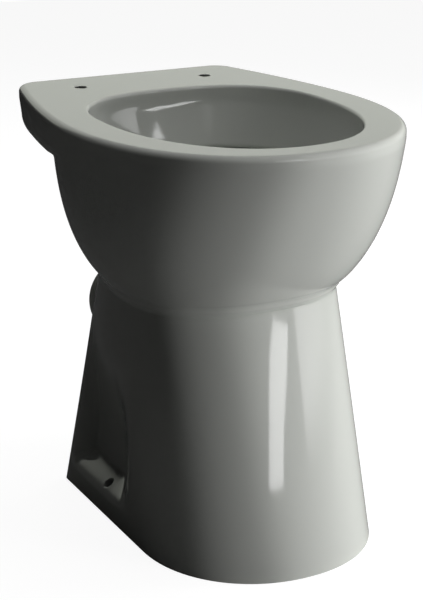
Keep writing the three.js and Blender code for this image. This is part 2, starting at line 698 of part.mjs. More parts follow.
// Rings round a stretch of the trap's centre line, between two shares of its length, wider to the outlet
function trapRings(wall, from, to, stationCount) {
  const path = trapLine();
  return evenShares(stationCount).map((step) => {
    const share = lerp(from, to, step);
    const centre = path.getPointAt(share);
    const tangent = path.getTangentAt(share);
    const flare = smoothstep(share, OUTLET_FLARE_SHARE, 1);
    const radius = lerp(TRAP_BORE_RADIUS, SPIGOT_BORE_RADIUS, flare) + wall;
    return Array.from({ length: TRAP_SIDE_COUNT }, (_, index) => {
      const angle = (2 * Math.PI * index) / TRAP_SIDE_COUNT;
      return new THREE.Vector3(
        radius * Math.sin(angle),
        centre.x - tangent.y * radius * Math.cos(angle),
        centre.y + tangent.x * radius * Math.cos(angle),
      );
    });
  });
}

// One casting of the trap: a stretch of its tube, skinned along the outside and back along the bore
function trapCasting(from, to, stationCount, name) {
  const outside = trapRings(TRAP_WALL, from, to, stationCount);
  const bore = trapRings(0, from, to, stationCount);
  return toMesh(loft([...outside, ...bore.reverse()], true), name);
}

// Trapway: the dip that holds the water seal, luted under the basin, up to the joint in its rising leg
function trapway() {
  return trapCasting(0, TRAP_JOINT_SHARE, TRAP_DIP_STATION_COUNT, 'trapway');
}

// Weir bend: from the joint in the rising leg over the weir and down to the outlet
function weirBend() {
  return trapCasting(TRAP_JOINT_SHARE, 1, TRAP_WEIR_STATION_COUNT, 'weir_bend');
}

// Outlet spigot: the straight, round end that the pan connector fits over
function outletSpigot() {
  const tip = yAt(0);
  const root = yAt(OUTLET_BEND_DEPTH) + JOINT_GAP;
  const outerEdge = SPIGOT_RADIUS - SPIGOT_EDGE_RADIUS;
  const innerEdge = SPIGOT_BORE_RADIUS + SPIGOT_EDGE_RADIUS;
  const profile = [
    [SPIGOT_BORE_RADIUS, root],
    [SPIGOT_RADIUS, root],
    [SPIGOT_RADIUS, tip - SPIGOT_EDGE_RADIUS],
    [outerEdge + SPIGOT_EDGE_RADIUS / 2, tip - SPIGOT_EDGE_RADIUS / 5],
    [outerEdge, tip],
    [innerEdge, tip],
    [innerEdge - SPIGOT_EDGE_RADIUS / 2, tip - SPIGOT_EDGE_RADIUS / 5],
    [SPIGOT_BORE_RADIUS, tip - SPIGOT_EDGE_RADIUS],
    [SPIGOT_BORE_RADIUS, root],
  ].map(([radius, y]) => new THREE.Vector2(radius, y));
  const geometry = new THREE.LatheGeometry(profile, 2 * TRAP_SIDE_COUNT);
  const mesh = toMesh(toSolid(geometry), 'outlet_spigot');
  mesh.position.z = OUTLET_HEIGHT;
  return mesh;
}

// Trap bridge: the web across the foot that the trap's dip rests in
function trapBridge() {
  const reach = BASE_HALF_WIDTH;
  const shape = new THREE.Shape();
  shape.moveTo(-reach, BRIDGE_TOP_HEIGHT);
  shape.lineTo(-reach, BRIDGE_FOOT_HEIGHT);
  shape.quadraticCurveTo(0, 2 * BRIDGE_ARCH_HEIGHT - BRIDGE_FOOT_HEIGHT, reach, BRIDGE_FOOT_HEIGHT);
  shape.lineTo(reach, BRIDGE_TOP_HEIGHT);
  const web = new THREE.ExtrudeGeometry(shape, { depth: BRIDGE_THICKNESS, bevelEnabled: false });
  web.rotateX(Math.PI / 2);
  web.translate(0, yAt(BRIDGE_DEPTH - BRIDGE_THICKNESS / 2), 0);
  const fitted = toSolid(web).intersect(footInside(FOOT_WALL + JOINT_GAP, 0));
  const dip = loft(trapRings(TRAP_WALL + JOINT_GAP, 0, TRAP_JOINT_SHARE, TRAP_DIP_STATION_COUNT));
  return toMesh(fitted.subtract(dip), 'trap_bridge');
}

// Fixing boss: the thick slanted seat behind a ledge, which the floor screw passes through
function fixingBoss(side, name) {
  const solid = screwBar(side, SCREW_BOSS_DIAMETER / 2).intersect(footInside(FOOT_WALL + JOINT_GAP, 0));
  return toMesh(solid.subtract(screwBar(side, SCREW_HOLE_DIAMETER / 2)), name);
}

const upperWare = new THREE.Group();
upperWare.add(rimAndDeck(), outerBowl(), basin());
const lowerWare = new THREE.Group();
lowerWare.add(pedestal(), trapBridge());
lowerWare.add(fixingBoss(-1, 'fixing_boss_left'), fixingBoss(1, 'fixing_boss_right'));
const waterway = new THREE.Group();
waterway.add(trapway(), weirBend(), outletSpigot());

const pan = new THREE.Group();
pan.add(lowerWare, waterway, upperWare);

export default pan;
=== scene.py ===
"""Looks of a raised floor-standing WC pan in glazed white vitreous china.

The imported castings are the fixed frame. Each kind of Ware below builds one part of the fired ware as a fine
mesh in the same place, dresses it in its glaze, and says which castings it stands for. Studio adds the floor,
the lamps and the camera. Lengths are metres. X runs across the pan, the front of the bowl faces -Y and Z
points up.
"""

from __future__ import annotations

import logging
import math
from dataclasses import dataclass, field, replace
from enum import Enum
from typing import Callable, Sequence

import bpy
import numpy as np
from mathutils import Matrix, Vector

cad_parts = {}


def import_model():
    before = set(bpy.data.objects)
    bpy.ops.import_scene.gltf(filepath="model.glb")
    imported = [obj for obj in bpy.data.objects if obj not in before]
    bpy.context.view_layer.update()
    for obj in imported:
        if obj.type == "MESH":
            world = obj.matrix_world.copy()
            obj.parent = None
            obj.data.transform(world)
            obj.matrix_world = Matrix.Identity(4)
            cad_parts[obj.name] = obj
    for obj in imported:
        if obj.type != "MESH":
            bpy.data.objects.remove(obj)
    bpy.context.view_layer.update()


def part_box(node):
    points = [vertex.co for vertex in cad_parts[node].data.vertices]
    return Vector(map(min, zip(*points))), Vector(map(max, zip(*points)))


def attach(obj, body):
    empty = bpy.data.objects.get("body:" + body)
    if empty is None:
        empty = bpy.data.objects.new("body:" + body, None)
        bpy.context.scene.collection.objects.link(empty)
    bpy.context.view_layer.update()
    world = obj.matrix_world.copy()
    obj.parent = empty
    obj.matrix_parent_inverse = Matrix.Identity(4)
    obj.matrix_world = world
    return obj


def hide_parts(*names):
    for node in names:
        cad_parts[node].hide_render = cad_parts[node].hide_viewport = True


LOG = logging.getLogger("pan")
ROOT = "root"
MM = 0.001
BEND = "bend"
BEND_REACH = 8 * MM
SHARE = "share"
GLAZE_IOR = 1.5
PINHOLE_SHARE = 0.012
PINHOLE_COLOUR = (0.16, 0.14, 0.11)
ROUGHNESS_RISE = 0.1
MOUTH_TURN = 70
ROUND = 2.0
FACING = 0.7
LEVEL = 0.95
TINY = 1e-6
SHORTEST_EDGE = 0.01 * MM
MIX_INPUTS = (0, 6, 7)
MIX_OUTPUT = 2


class Slot(Enum):
    """Names of material slots."""

    CHINA = "glazed_china"
    WATERWAY = "glazed_waterway"


class Cut(Enum):
    """Ways to combine two solids, as Blender's boolean names them."""

    TAKE = "DIFFERENCE"
    JOIN = "UNION"
    KEEP = "INTERSECT"


def lerp(start: float, end: float, share: float) -> float:
    """Return the value a share of the way from start to end."""
    return start + (end - start) * share


def smoothstep(value: np.ndarray | float, low: float, high: float) -> np.ndarray:
    """Return a soft rise from 0 at low to 1 at high."""
    share = np.clip((value - low) / (high - low), 0.0, 1.0)
    return share * share * (3.0 - 2.0 * share)


def swell(share: float, high_power: float, low_power: float) -> float:
    """Return a rise from 0 to 1 along a rounded curve, where two powers set its high and its low end."""
    return (1 - (1 - share) ** high_power) ** (1 / low_power)


def spread(low: float, high: float, count: int) -> list[float]:
    """Return count values from low to high, both included."""
    return list(np.linspace(low, high, count))


def quarter_turn(count: int) -> list[float]:
    """Return count angles in radians from 0 to a quarter turn, both included."""
    return spread(0.0, math.pi / 2, count)


@dataclass(frozen=True)
class Outline:
    """The pan's outline at one height, seen from above. Depths run forwards from the deck's rear edge.

    Attributes:
        half_width: half of the greatest width.
        widest: depth of the greatest width.
        front: depth of the nose.
        rear_half_width: half width at the rear edge.
        rear: depth of the rear edge.
        corner: length of the rounding at a rear corner.
        nose: power of the curve round the nose.
        side: power of the curve along the side.
    """

    half_width: float
    widest: float
    front: float
    rear_half_width: float
    rear: float
    corner: float
    nose: float
    side: float

    def mixed(self, other: Outline, share: float, **own: float) -> Outline:
        """Return the outline part of the way to another.

        Args:
            other: the outline at share 1.
            share: the share of every size that has none of its own.
            own: shares of single sizes, by name.

        Returns:
            The mixed outline.
        """
        names = self.__dataclass_fields__
        mix = {name: lerp(getattr(self, name), getattr(other, name), own.get(name, share)) for name in names}
        return Outline(**mix)

    def inset(self, wall: float) -> Outline:
        """Return the outline moved inwards by a wall."""
        return replace(
            self,
            half_width=self.half_width - wall,
            front=self.front - wall,
            rear_half_width=self.rear_half_width - wall,
            rear=self.rear + wall,
            corner=max(self.corner - wall, 0.0),
        )

    def reach(self, angles: np.ndarray, spine: float) -> np.ndarray:
        """Return how far the outline reaches from the spine.

        Args:
            angles: directions, 0 to the rear and pi to the front.
            spine: depth of the spine.

        Returns:
            The reach in each direction.
        """
        points = self._half_points(spine)
        return np.interp(angles, np.arctan2(points[:, 0], points[:, 1]), np.hypot(points[:, 0], points[:, 1]))

    def _side_at(self, depth: np.ndarray) -> np.ndarray:
        """Return half of the width at a depth between the rear edge and the widest place."""
        fall = np.maximum((self.widest - depth) / (self.widest - self.rear), 0.0) ** self.side
        return self.half_width - (self.half_width - self.rear_half_width) * fall

    def _half_points(self, spine: float, count: int = 260, handle: float = 0.55) -> np.ndarray:
        """Return one half of the outline as points, from the rear edge round the corner to the nose.

        Args:
            spine: depth of the spine that the points are measured from.
            count: points along each stretch.
            handle: how far the corner's curve is drawn towards the bare corner.

        Returns:
            Rows of distance from the centre plane and distance behind the spine.
        """
        depth = self.rear + self.corner
        start = np.array([self.rear_half_width - self.corner, self.rear])
        tip = np.array([self.rear_half_width, self.rear])
        end = np.array([float(self._side_at(np.array(depth))), depth])
        share = np.linspace(0.0, 1.0, count)[:, None]
        pulls = (start, start + (tip - start) * handle, end + (tip - end) * handle, end)
        weights = ((1 - share) ** 3, 3 * share * (1 - share) ** 2, 3 * share**2 * (1 - share), share**3)
        bend = sum(weight * pull for weight, pull in zip(weights, pulls))
        depths = np.linspace(depth, self.widest, count)[1:]
        flank = np.column_stack([self._side_at(depths), depths])
        turn = np.linspace(0.0, math.pi / 2, 2 * count)[1:]
        across = self.half_width * np.maximum(np.cos(turn), 0.0) ** (2 / self.nose)
        ahead = self.widest + (self.front - self.widest) * np.sin(turn) ** (2 / self.nose)
        rear = np.linspace(0.0, start[0], count)[:-1]
        edge = np.column_stack([rear, np.full_like(rear, self.rear)])
        points = np.vstack([edge, bend, flank, np.column_stack([across, ahead])])
        points[:, 1] = spine - points[:, 1]
        return points


@dataclass(frozen=True)
class Egg:
    """An egg-shaped outline of the throat or the basin. Depths run forwards from the deck's rear edge."""

    half_width: float
    widest: float
    front: float
    rear: float
    nose: float
    tail: float

    def grown(self, wall: float) -> Egg:
        """Return the outline moved outwards by a wall."""
        return replace(
            self, half_width=self.half_width + wall, front=self.front + wall, rear=self.rear - wall
        )

    def points(self, turns: np.ndarray) -> np.ndarray:
        """Return points round the egg.

        Args:
            turns: turns in radians, 0 to the rear, growing over the left side.

        Returns:
            Rows of x and depth.
        """
        along, across = np.cos(turns), np.sin(turns)
        power = 2 / np.where(along < 0, self.nose, self.tail)
        length = np.where(along < 0, self.front - self.widest, self.rear - self.widest)
        x = -self.half_width * np.sign(across) * np.abs(across) ** power
        return np.column_stack([x, self.widest + length * np.abs(along) ** power])

    def reach(self, angles: np.ndarray, spine: float, count: int = 1400) -> np.ndarray:
        """Return how far the egg reaches from the spine in directions from 0 to pi."""
        points = self.points(np.linspace(0.0, math.pi, count))
        across, behind = np.maximum(-points[:, 0], 0.0), spine - points[:, 1]
        return np.interp(angles, np.arctan2(across, behind), np.hypot(across, behind))


@dataclass(frozen=True)
class Frame:
    """The driving sizes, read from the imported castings.

    Attributes:
        height: height of the rim's top.
        depth: from the deck's rear edge to the nose of the rim.
        half_width: half of the rim's width.
        waist: height of the joint between foot and bowl.
        rim_joint: height of the joint under the rim.
        base_half_width: half of the foot's width on the floor.
        foot_rear: depth of the foot's rear edge.
        outlet: height of the outlet's centre line.
        spigot: outside radius of the outlet spigot.
        trap_top: height of the joint between basin and trap.
    """

    height: float
    depth: float
    half_width: float
    waist: float
    rim_joint: float
    base_half_width: float
    foot_rear: float
    outlet: float
    spigot: float
    trap_top: float

    @classmethod
    def read(cls) -> Frame:
        """Return the sizes of the castings' boxes."""
        low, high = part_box("rim_and_deck")
        foot_low, foot_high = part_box("pedestal")
        spigot_low, spigot_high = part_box("outlet_spigot")
        basin_low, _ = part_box("basin")
        return cls(
            height=high.z,
            depth=high.y - low.y,
            half_width=(high.x - low.x) / 2,
            waist=foot_high.z,
            rim_joint=low.z,
            base_half_width=(foot_high.x - foot_low.x) / 2,
            foot_rear=high.y - foot_high.y,
            outlet=(spigot_high.z + spigot_low.z) / 2,
            spigot=(spigot_high.z - spigot_low.z) / 2,
            trap_top=basin_low.z,
        )

    def y_at(self, depth: np.ndarray | float) -> np.ndarray | float:
        """Return the Y coordinate of a depth."""
        return self.depth / 2 - depth


@dataclass
class PanForm:
    """The outer form of the ware: foot, waist, bowl, rear deck and the recess in each side of the foot."""

    frame: Frame
    foot_widest: float = 322 * MM
    foot_front: float = 456 * MM
    foot_corner: float = 12 * MM
    waist_half_width: float = 122 * MM
    waist_widest: float = 260 * MM
    waist_front: float = 365 * MM
    waist_rear_half_width: float = 74 * MM
    waist_corner: float = 13 * MM
    waist_softening: float = 11 * MM
    bowl_top: float = 446 * MM
    bowl_rear: float = 94 * MM
    bowl_rear_half_width: float = 127 * MM
    bowl_corner: float = 60 * MM
    rim_widest: float = 250 * MM
    deck_rear_half_width: float = 134 * MM
    deck_corner: float = 20 * MM
    deck_skirt: float = 427.5 * MM
    deck_drop: float = 34.8 * MM
    deck_rear_tuck: float = 54.4 * MM
    deck_corner_tuck: float = 15.7 * MM
    deck_side_tuck: float = 85 * MM
    deck_blend: float = 16 * MM
    skirt_draft: float = 1.8 * MM
    scoop_depth: float = 24 * MM
    ledge_low: float = 20 * MM
    ledge_high: float = 46 * MM
    scoop_taper: float = 70 * MM
    scoop_top: float = 214 * MM
    scoop_flange: float = 111 * MM
    scoop_valley: float = 130 * MM
    scoop_full: float = 215 * MM
    scoop_fade: float = 290 * MM
    spine_share: float = 0.423
    side_swell: tuple[float, float] = (2.54, 1.17)
    front_swell: tuple[float, float] = (1.02, 1.53)
    rear_swell: float = 0.48
    corner_swell: float = 0.5
    foot_nose: float = 2.1
    waist_nose: float = 2.37
    bowl_nose: float = 2.2
    bowl_side: float = 1.72
    deck_side: float = 1.61
    fine_steps: int = 4000
    directions: np.ndarray = field(init=False)

    def __post_init__(self) -> None:
        """Work out the outlines that every height is mixed from, and the directions of the mesh."""
        self.spine = self.frame.depth * self.spine_share
        self.base = Outline(
            self.frame.base_half_width,
            self.foot_widest,
            self.foot_front,
            self.frame.base_half_width,
            self.frame.foot_rear,
            self.foot_corner,
            nose=self.foot_nose,
            side=ROUND,
        )
        self.waist = Outline(
            self.waist_half_width,
            self.waist_widest,
            self.waist_front,
            self.waist_rear_half_width,
            self.frame.foot_rear,
            self.waist_corner,
            nose=self.waist_nose,
            side=ROUND,
        )
        self.bowl = Outline(
            self.frame.half_width,
            self.rim_widest,
            self.frame.depth,
            self.bowl_rear_half_width,
            self.bowl_rear,
            self.bowl_corner,
            nose=self.bowl_nose,
            side=self.bowl_side,
        )
        self.directions = self._directions()

    @property
    def deck_bottom(self) -> float:
        """Height of the deck's underside."""
        return self.deck_skirt - self.deck_drop

    def _directions(self, count: int = 230, pull: float = 2.6, width: float = 9.0) -> np.ndarray:
        """Return directions all round the spine, closer together at the rear corners.

        Args:
            count: directions on each side.
            pull: how much denser they lie at a corner.
            width: degrees over which they grow denser towards a corner.

        Returns:
            Angles from 0 at the rear, over the left side to the front and back over the right side.
        """
        corners = (
            math.atan2(self.deck_rear_half_width, self.spine),
            math.atan2(self.waist_rear_half_width, self.spine - self.frame.foot_rear),
            math.atan2(self.frame.base_half_width, self.spine - self.frame.foot_rear),
        )
        fine = np.linspace(0.0, math.pi, self.fine_steps)
        near = math.radians(width)
        density = 1 + sum(pull * np.exp(-(((fine - corner) / near) ** 2)) for corner in corners)
        total = np.concatenate([[0.0], np.cumsum((density[1:] + density[:-1]) / 2)])
        half = np.interp(np.linspace(0.0, total[-1], count + 1), total, fine)
        return np.concatenate([half, 2 * math.pi - half[-2:0:-1]])

    def _plain(self, height: float) -> Outline:
        """Return the bare outline at a height: straight sides on the foot, swelling ones on the bowl."""
        if height <= self.frame.waist:
            return self.base.mixed(self.waist, height / self.frame.waist)
        share = min(max((height - self.frame.waist) / (self.bowl_top - self.frame.waist), 0.0), 1.0)
        return self.waist.mixed(
            self.bowl,
            share,
            half_width=swell(share, *self.side_swell),
            front=swell(share, *self.front_swell),
            rear_half_width=share**self.rear_swell,
            corner=share**self.corner_swell,
        )

    def front_at(self, height: float) -> float:
        """Return the depth of the nose at a height."""
        return self._plain(height).front

    def outline(self, height: float) -> Outline:
        """Return the outline at a height, with the crease at the waist softened over a short stretch."""
        offset = abs(height - self.frame.waist)
        reach = self.waist_softening * max(0.0, 1 - offset / (2 * self.waist_softening))
        if reach == 0:
            return self._plain(height)
        shares = (1.0, 0.75, 0.5, 0.25)
        pairs = [
            self._plain(height - reach * share).mixed(self._plain(height + reach * share), 0.5)
            for share in shares
        ]
        return pairs[0].mixed(pairs[1], 0.5).mixed(pairs[2].mixed(pairs[3], 0.5), 0.5)

    def deck(self, height: float) -> Outline:
        """Return the deck's outline at a height: a skirt with a little draft over an edge rounded inwards."""
        body = self.outline(height)
        fall = min(max((self.deck_skirt - height) / self.deck_drop, 0.0), 1.0)
        tuck = 1 - math.sqrt(1 - fall**2)
        skirt = (self.bowl_top - height) / (self.bowl_top - self.deck_skirt)
        draft = self.skirt_draft * min(max(skirt, 0.0), 1.0)
        return replace(
            body,
            half_width=body.half_width - self.deck_side_tuck * tuck,
            front=body.front - self.deck_side_tuck * tuck,
            rear_half_width=self.deck_rear_half_width - self.deck_corner_tuck * tuck - draft,
            rear=self.deck_rear_tuck * tuck + draft,
            corner=self.deck_corner,
            side=self.deck_side,
        )

    def scoop(self, depth: np.ndarray, height: float) -> np.ndarray:
        """Return how deep the recess in the side of the foot is at a place."""
        rise = smoothstep(height, self.ledge_low, self.ledge_high)
        fade = 1 - smoothstep(height, self.scoop_taper, self.scoop_top)
        step = smoothstep(depth, self.scoop_flange, self.scoop_valley)
        blend = 1 - smoothstep(depth, self.scoop_full, self.scoop_fade)
        return self.scoop_depth * rise * fade * step * blend

    def ring(
        self,
        height: float,
        wall: float = 0.0,
        floor: float = 0.0,
        with_deck: bool = True,
        angles: np.ndarray | None = None,
    ) -> np.ndarray:
        """Return one closed ring of the form.

        Args:
            height: height of the ring.
            wall: how far the ring lies inside the outer face.
            floor: how far the inside of the deck lies above its underside.
            with_deck: whether the deck counts, where the ring is high enough.
            angles: directions of the points, or none for the mesh's own.

        Returns:
            Rows of X, Y and Z.
        """
        around = self.directions if angles is None else angles
        half = np.minimum(around, 2 * math.pi - around)
        reach = self.outline(height).inset(wall).reach(half, self.spine)
        deck_height = height - floor
        if with_deck and deck_height >= self.deck_bottom - TINY:
            proud = np.maximum(self.deck(deck_height).inset(wall).reach(half, self.spine) - reach, 0.0)
            fall = min(max((self.deck_skirt - deck_height) / self.deck_drop, 0.0), 1.0)
            blend = max(self.deck_blend * fall, TINY)
            reach = reach + np.where(proud < blend, proud * smoothstep(proud, 0.0, blend), proud)
        depth = self.spine - reach * np.cos(half)
        across = np.maximum(reach * np.sin(half) - self.scoop(depth, height), 0.0)
        side = np.where(around <= math.pi, -1.0, 1.0)
        return np.column_stack([side * across, self.frame.y_at(depth), np.full_like(depth, height)])

    def polar(self, reach: np.ndarray, height: float) -> np.ndarray:
        """Return a ring of the mesh's own directions with a given reach from the spine."""
        depth = self.spine - reach * np.cos(self.directions)
        return np.column_stack(
            [-reach * np.sin(self.directions), self.frame.y_at(depth), np.full_like(depth, height)]
        )


@dataclass(frozen=True)
class Solid:
    """A closed form before it becomes an object.

    Attributes:
        vertices: rows of X, Y and Z.
        faces: corner numbers of each face.
    """

    vertices: np.ndarray
    faces: list[list[int]]

    @classmethod
    def skinned(cls, rings: Sequence[np.ndarray], wrap: bool = False) -> Solid:
        """Return a solid over a row of rings of equal counts.

        Args:
            rings: the rings.
            wrap: whether the last ring leads back to the first; otherwise a fan closes each end.

        Returns:
            The solid, with its faces pointing out.
        """
        count, rows = len(rings[0]), len(rings)
        vertices = np.vstack(rings)
        side = np.arange(count)
        after = (side + 1) % count
        pairs = [(row, (row + 1) % rows) for row in range(rows if wrap else rows - 1)]
        faces = []
        for row, up in pairs:
            low, high = row * count, up * count
            faces += np.column_stack([low + side, low + after, high + after, high + side]).tolist()
        if not wrap:
            top = (rows - 1) * count
            faces += np.column_stack([after, side, np.full(count, rows * count)]).tolist()
            faces += np.column_stack([top + side, top + after, np.full(count, rows * count + 1)]).tolist()
            vertices = np.vstack([vertices, rings[0].mean(axis=0), rings[-1].mean(axis=0)])
        solid = cls(vertices, faces)
        return solid if solid.volume() > 0 else cls(vertices, [face[::-1] for face in faces])

    @classmethod
    def turned(
        cls, profile: Sequence[tuple[float, float]], start: Vector, axis: Vector, count: int = 96
    ) -> Solid:
        """Return a solid turned round an axis.

        Args:
            profile: pairs of radius and distance along the axis.
            start: the point at distance zero.
            axis: direction of the axis.
            count: points round the axis.

        Returns:
            The solid, closed at both ends.
        """
        along = axis.normalized()
        across = along.orthogonal().normalized()
        turns = np.linspace(0.0, 2 * math.pi, count, endpoint=False)
        circle = np.outer(np.cos(turns), across) + np.outer(np.sin(turns), along.cross(across))
        return cls.skinned(
            [np.array(start) + np.array(along) * distance + circle * radius for radius, distance in profile]
        )

    def volume(self) -> float:
        """Return the volume, below zero where the faces point inwards."""
        total = 0.0
        for size in (3, 4):
            corners = np.array([face for face in self.faces if len(face) == size], dtype=int)
            for last in range(2, size if len(corners) else 2):
                one, two, three = (self.vertices[corners[:, place]] for place in (0, last - 1, last))
                total += float(np.einsum("ij,ij->", one, np.cross(two, three)))
        return total / 6

    def piece(self, name: str) -> bpy.types.Object:
        """Return the solid as a new object at the origin, linked to the scene."""
        mesh = bpy.data.meshes.new(name)
        mesh.from_pydata(self.vertices.tolist(), [], self.faces)
        mesh.update()
        piece = bpy.data.objects.new(name, mesh)
        bpy.context.scene.collection.objects.link(piece)
        return piece


def combine(piece: bpy.types.Object, tools: Sequence[Solid], cut: Cut) -> None:
    """Combine a piece with solids that lie apart from each other.

    Args:
        piece: the object that is changed.
        tools: the solids that it is combined with.
        cut: how they combine.
    """
    starts = np.cumsum([0] + [len(tool.vertices) for tool in tools])
    faces = [
        [corner + int(start) for corner in face]
        for solid, start in zip(tools, starts)
        for face in solid.faces
    ]
    tool = Solid(np.vstack([solid.vertices for solid in tools]), faces).piece("tool")
    modifier = piece.modifiers.new("cut", "BOOLEAN")
    modifier.object = tool
    modifier.operation = cut.value
    modifier.solver = "EXACT"
    bpy.context.view_layer.update()
    evaluated = piece.evaluated_get(bpy.context.evaluated_depsgraph_get())
    mesh = bpy.data.meshes.new_from_object(evaluated)
    piece.modifiers.clear()
    old, piece.data = piece.data, mesh
    bpy.data.meshes.remove(old)
    bpy.data.objects.remove(tool)


def smooth(piece: bpy.types.Object, crease: float = 38.0) -> None:
    """Shade a piece smoothly, with a hard edge wherever two faces meet at more than crease degrees."""
    piece.data.shade_smooth()
    piece.data.set_sharp_from_angle(angle=math.radians(crease))


def store_bend(piece: bpy.types.Object, passes: int = 3) -> None:
    """Store how the surface bends, which sets the glaze's painted shade in hollows and painted highlight on
    edges: above zero on edges and below zero in hollows.

    Args:
        piece: the piece, with its final mesh.
        passes: how often each value is evened out with its neighbours.
    """
    mesh = piece.data
    count = len(mesh.vertices)
    places, normals = np.empty(3 * count), np.empty(3 * count)
    mesh.vertices.foreach_get("co", places)
    mesh.vertices.foreach_get("normal", normals)
    places, normals = places.reshape(-1, 3), normals.reshape(-1, 3)
    ends = np.empty(2 * len(mesh.edges), dtype=np.int64)
    mesh.edges.foreach_get("vertices", ends)
    one, two = ends.reshape(-1, 2).T
    step = places[two] - places[one]
    square = np.maximum((step**2).sum(axis=1), SHORTEST_EDGE**2)
    bend = ((normals[two] - normals[one]) * step).sum(axis=1) / square
    near = np.bincount(one, minlength=count) + np.bincount(two, minlength=count)
    near = np.maximum(near, 1)
    value = (np.bincount(one, bend, count) + np.bincount(two, bend, count)) / near
    for _ in range(passes):
        around = np.bincount(one, value[two], count) + np.bincount(two, value[one], count)
        value = (value + around / near) / 2
    attribute = mesh.attributes.new(BEND, "FLOAT", "POINT")
    attribute.data.foreach_set("value", np.clip(value * BEND_REACH, -1.0, 1.0).astype(np.float32))


class NodeTree:
    """A short way to place and link shader nodes."""

    def __init__(self, tree: bpy.types.NodeTree) -> None:
        """Keep the tree that the nodes go into."""
        self.tree = tree

    def add(self, kind: str, settings: dict | None = None, **inputs: object) -> bpy.types.Node:
        """Place a node, and set or link its inputs.

        Args:
            kind: Blender's name of the node type.
            settings: properties of the node itself.
            inputs: values or output sockets by input name, with _ for a blank.

        Returns:
            The new node.
        """
        node = self.tree.nodes.new(kind)
        for name, value in (settings or {}).items():
            setattr(node, name, value)
        for name, value in inputs.items():
            self.feed(node, name.replace("_", " "), value)
        return node

    def feed(self, node: bpy.types.Node, place: str | int, value: object) -> None:
        """Set an input of a node, by name or number, or link an output socket to it."""
        socket = node.inputs[place]
        if isinstance(value, bpy.types.NodeSocket):
            self.tree.links.new(value, socket)
        else:
            socket.default_value = value

    def math(self, operation: str, *values: object) -> bpy.types.NodeSocket:
        """Return the result of a math node."""
        node = self.tree.nodes.new("ShaderNodeMath")
        node.operation = operation
        for place, value in enumerate(values):
            self.feed(node, place, value)
        return node.outputs[0]

    def mix(self, factor: object, first: object, second: object) -> bpy.types.NodeSocket:
        """Return a colour mixed from two."""
        node = self.tree.nodes.new("ShaderNodeMix")
        node.data_type = "RGBA"
        for place, value in zip(MIX_INPUTS, (factor, first, second)):
            self.feed(node, place, value)
        return node.outputs[MIX_OUTPUT]


def new_group(
    name: str, inputs: dict[str, tuple[str, object]], outputs: dict[str, str]
) -> tuple[bpy.types.NodeTree, NodeTree, bpy.types.Node, bpy.types.Node]:
    """Return a new shader node group with named sockets.

    Args:
        name: name of the group.
        inputs: socket type and default value of each input.
        outputs: socket type of each output.

    Returns:
        The group, a helper for its nodes, its input node and its output node.
    """
    group = bpy.data.node_groups.new(name, "ShaderNodeTree")
    for label, (kind, value) in inputs.items():
        socket = group.interface.new_socket(label, in_out="INPUT", socket_type=kind)
        socket.default_value = value
    for label, kind in outputs.items():
        group.interface.new_socket(label, in_out="OUTPUT", socket_type=kind)
    nodes = NodeTree(group)
    return group, nodes, nodes.add("NodeGroupInput"), nodes.add("NodeGroupOutput")


def new_material(name: str) -> tuple[bpy.types.Material, NodeTree, bpy.types.Node]:
    """Return a new material, a helper for its nodes and its main shader."""
    material = bpy.data.materials.new(name)
    material.use_nodes = True
    return material, NodeTree(material.node_tree), material.node_tree.nodes["Principled BSDF"]


def glaze_ripple() -> bpy.types.NodeTree:
    """Return the group for the faint waves that a melted glaze sets in, as a height in metres."""
    group, nodes, source, sink = new_group(
        "glaze_ripple",
        {
            "Wave size": ("NodeSocketFloat", 0.05),
            "Wave height": ("NodeSocketFloat", 0.0001),
            "Peel size": ("NodeSocketFloat", 0.004),
            "Peel height": ("NodeSocketFloat", 0.00001),
        },
        {"Height": "NodeSocketFloat"},
    )
    place = nodes.add("ShaderNodeNewGeometry").outputs["Position"]
    total = None
    for label, detail in (("Wave", 1.0), ("Peel", 0.0)):
        scale = nodes.math("DIVIDE", 1.0, source.outputs[f"{label} size"])
        noise = nodes.add("ShaderNodeTexNoise", None, Vector=place, Scale=scale, Detail=detail)
        centred = nodes.math("SUBTRACT", noise.outputs["Fac"], 0.5)
        part = nodes.math("MULTIPLY", centred, source.outputs[f"{label} height"])
        total = part if total is None else nodes.math("ADD", total, part)
    nodes.feed(sink, "Height", total)
    return group


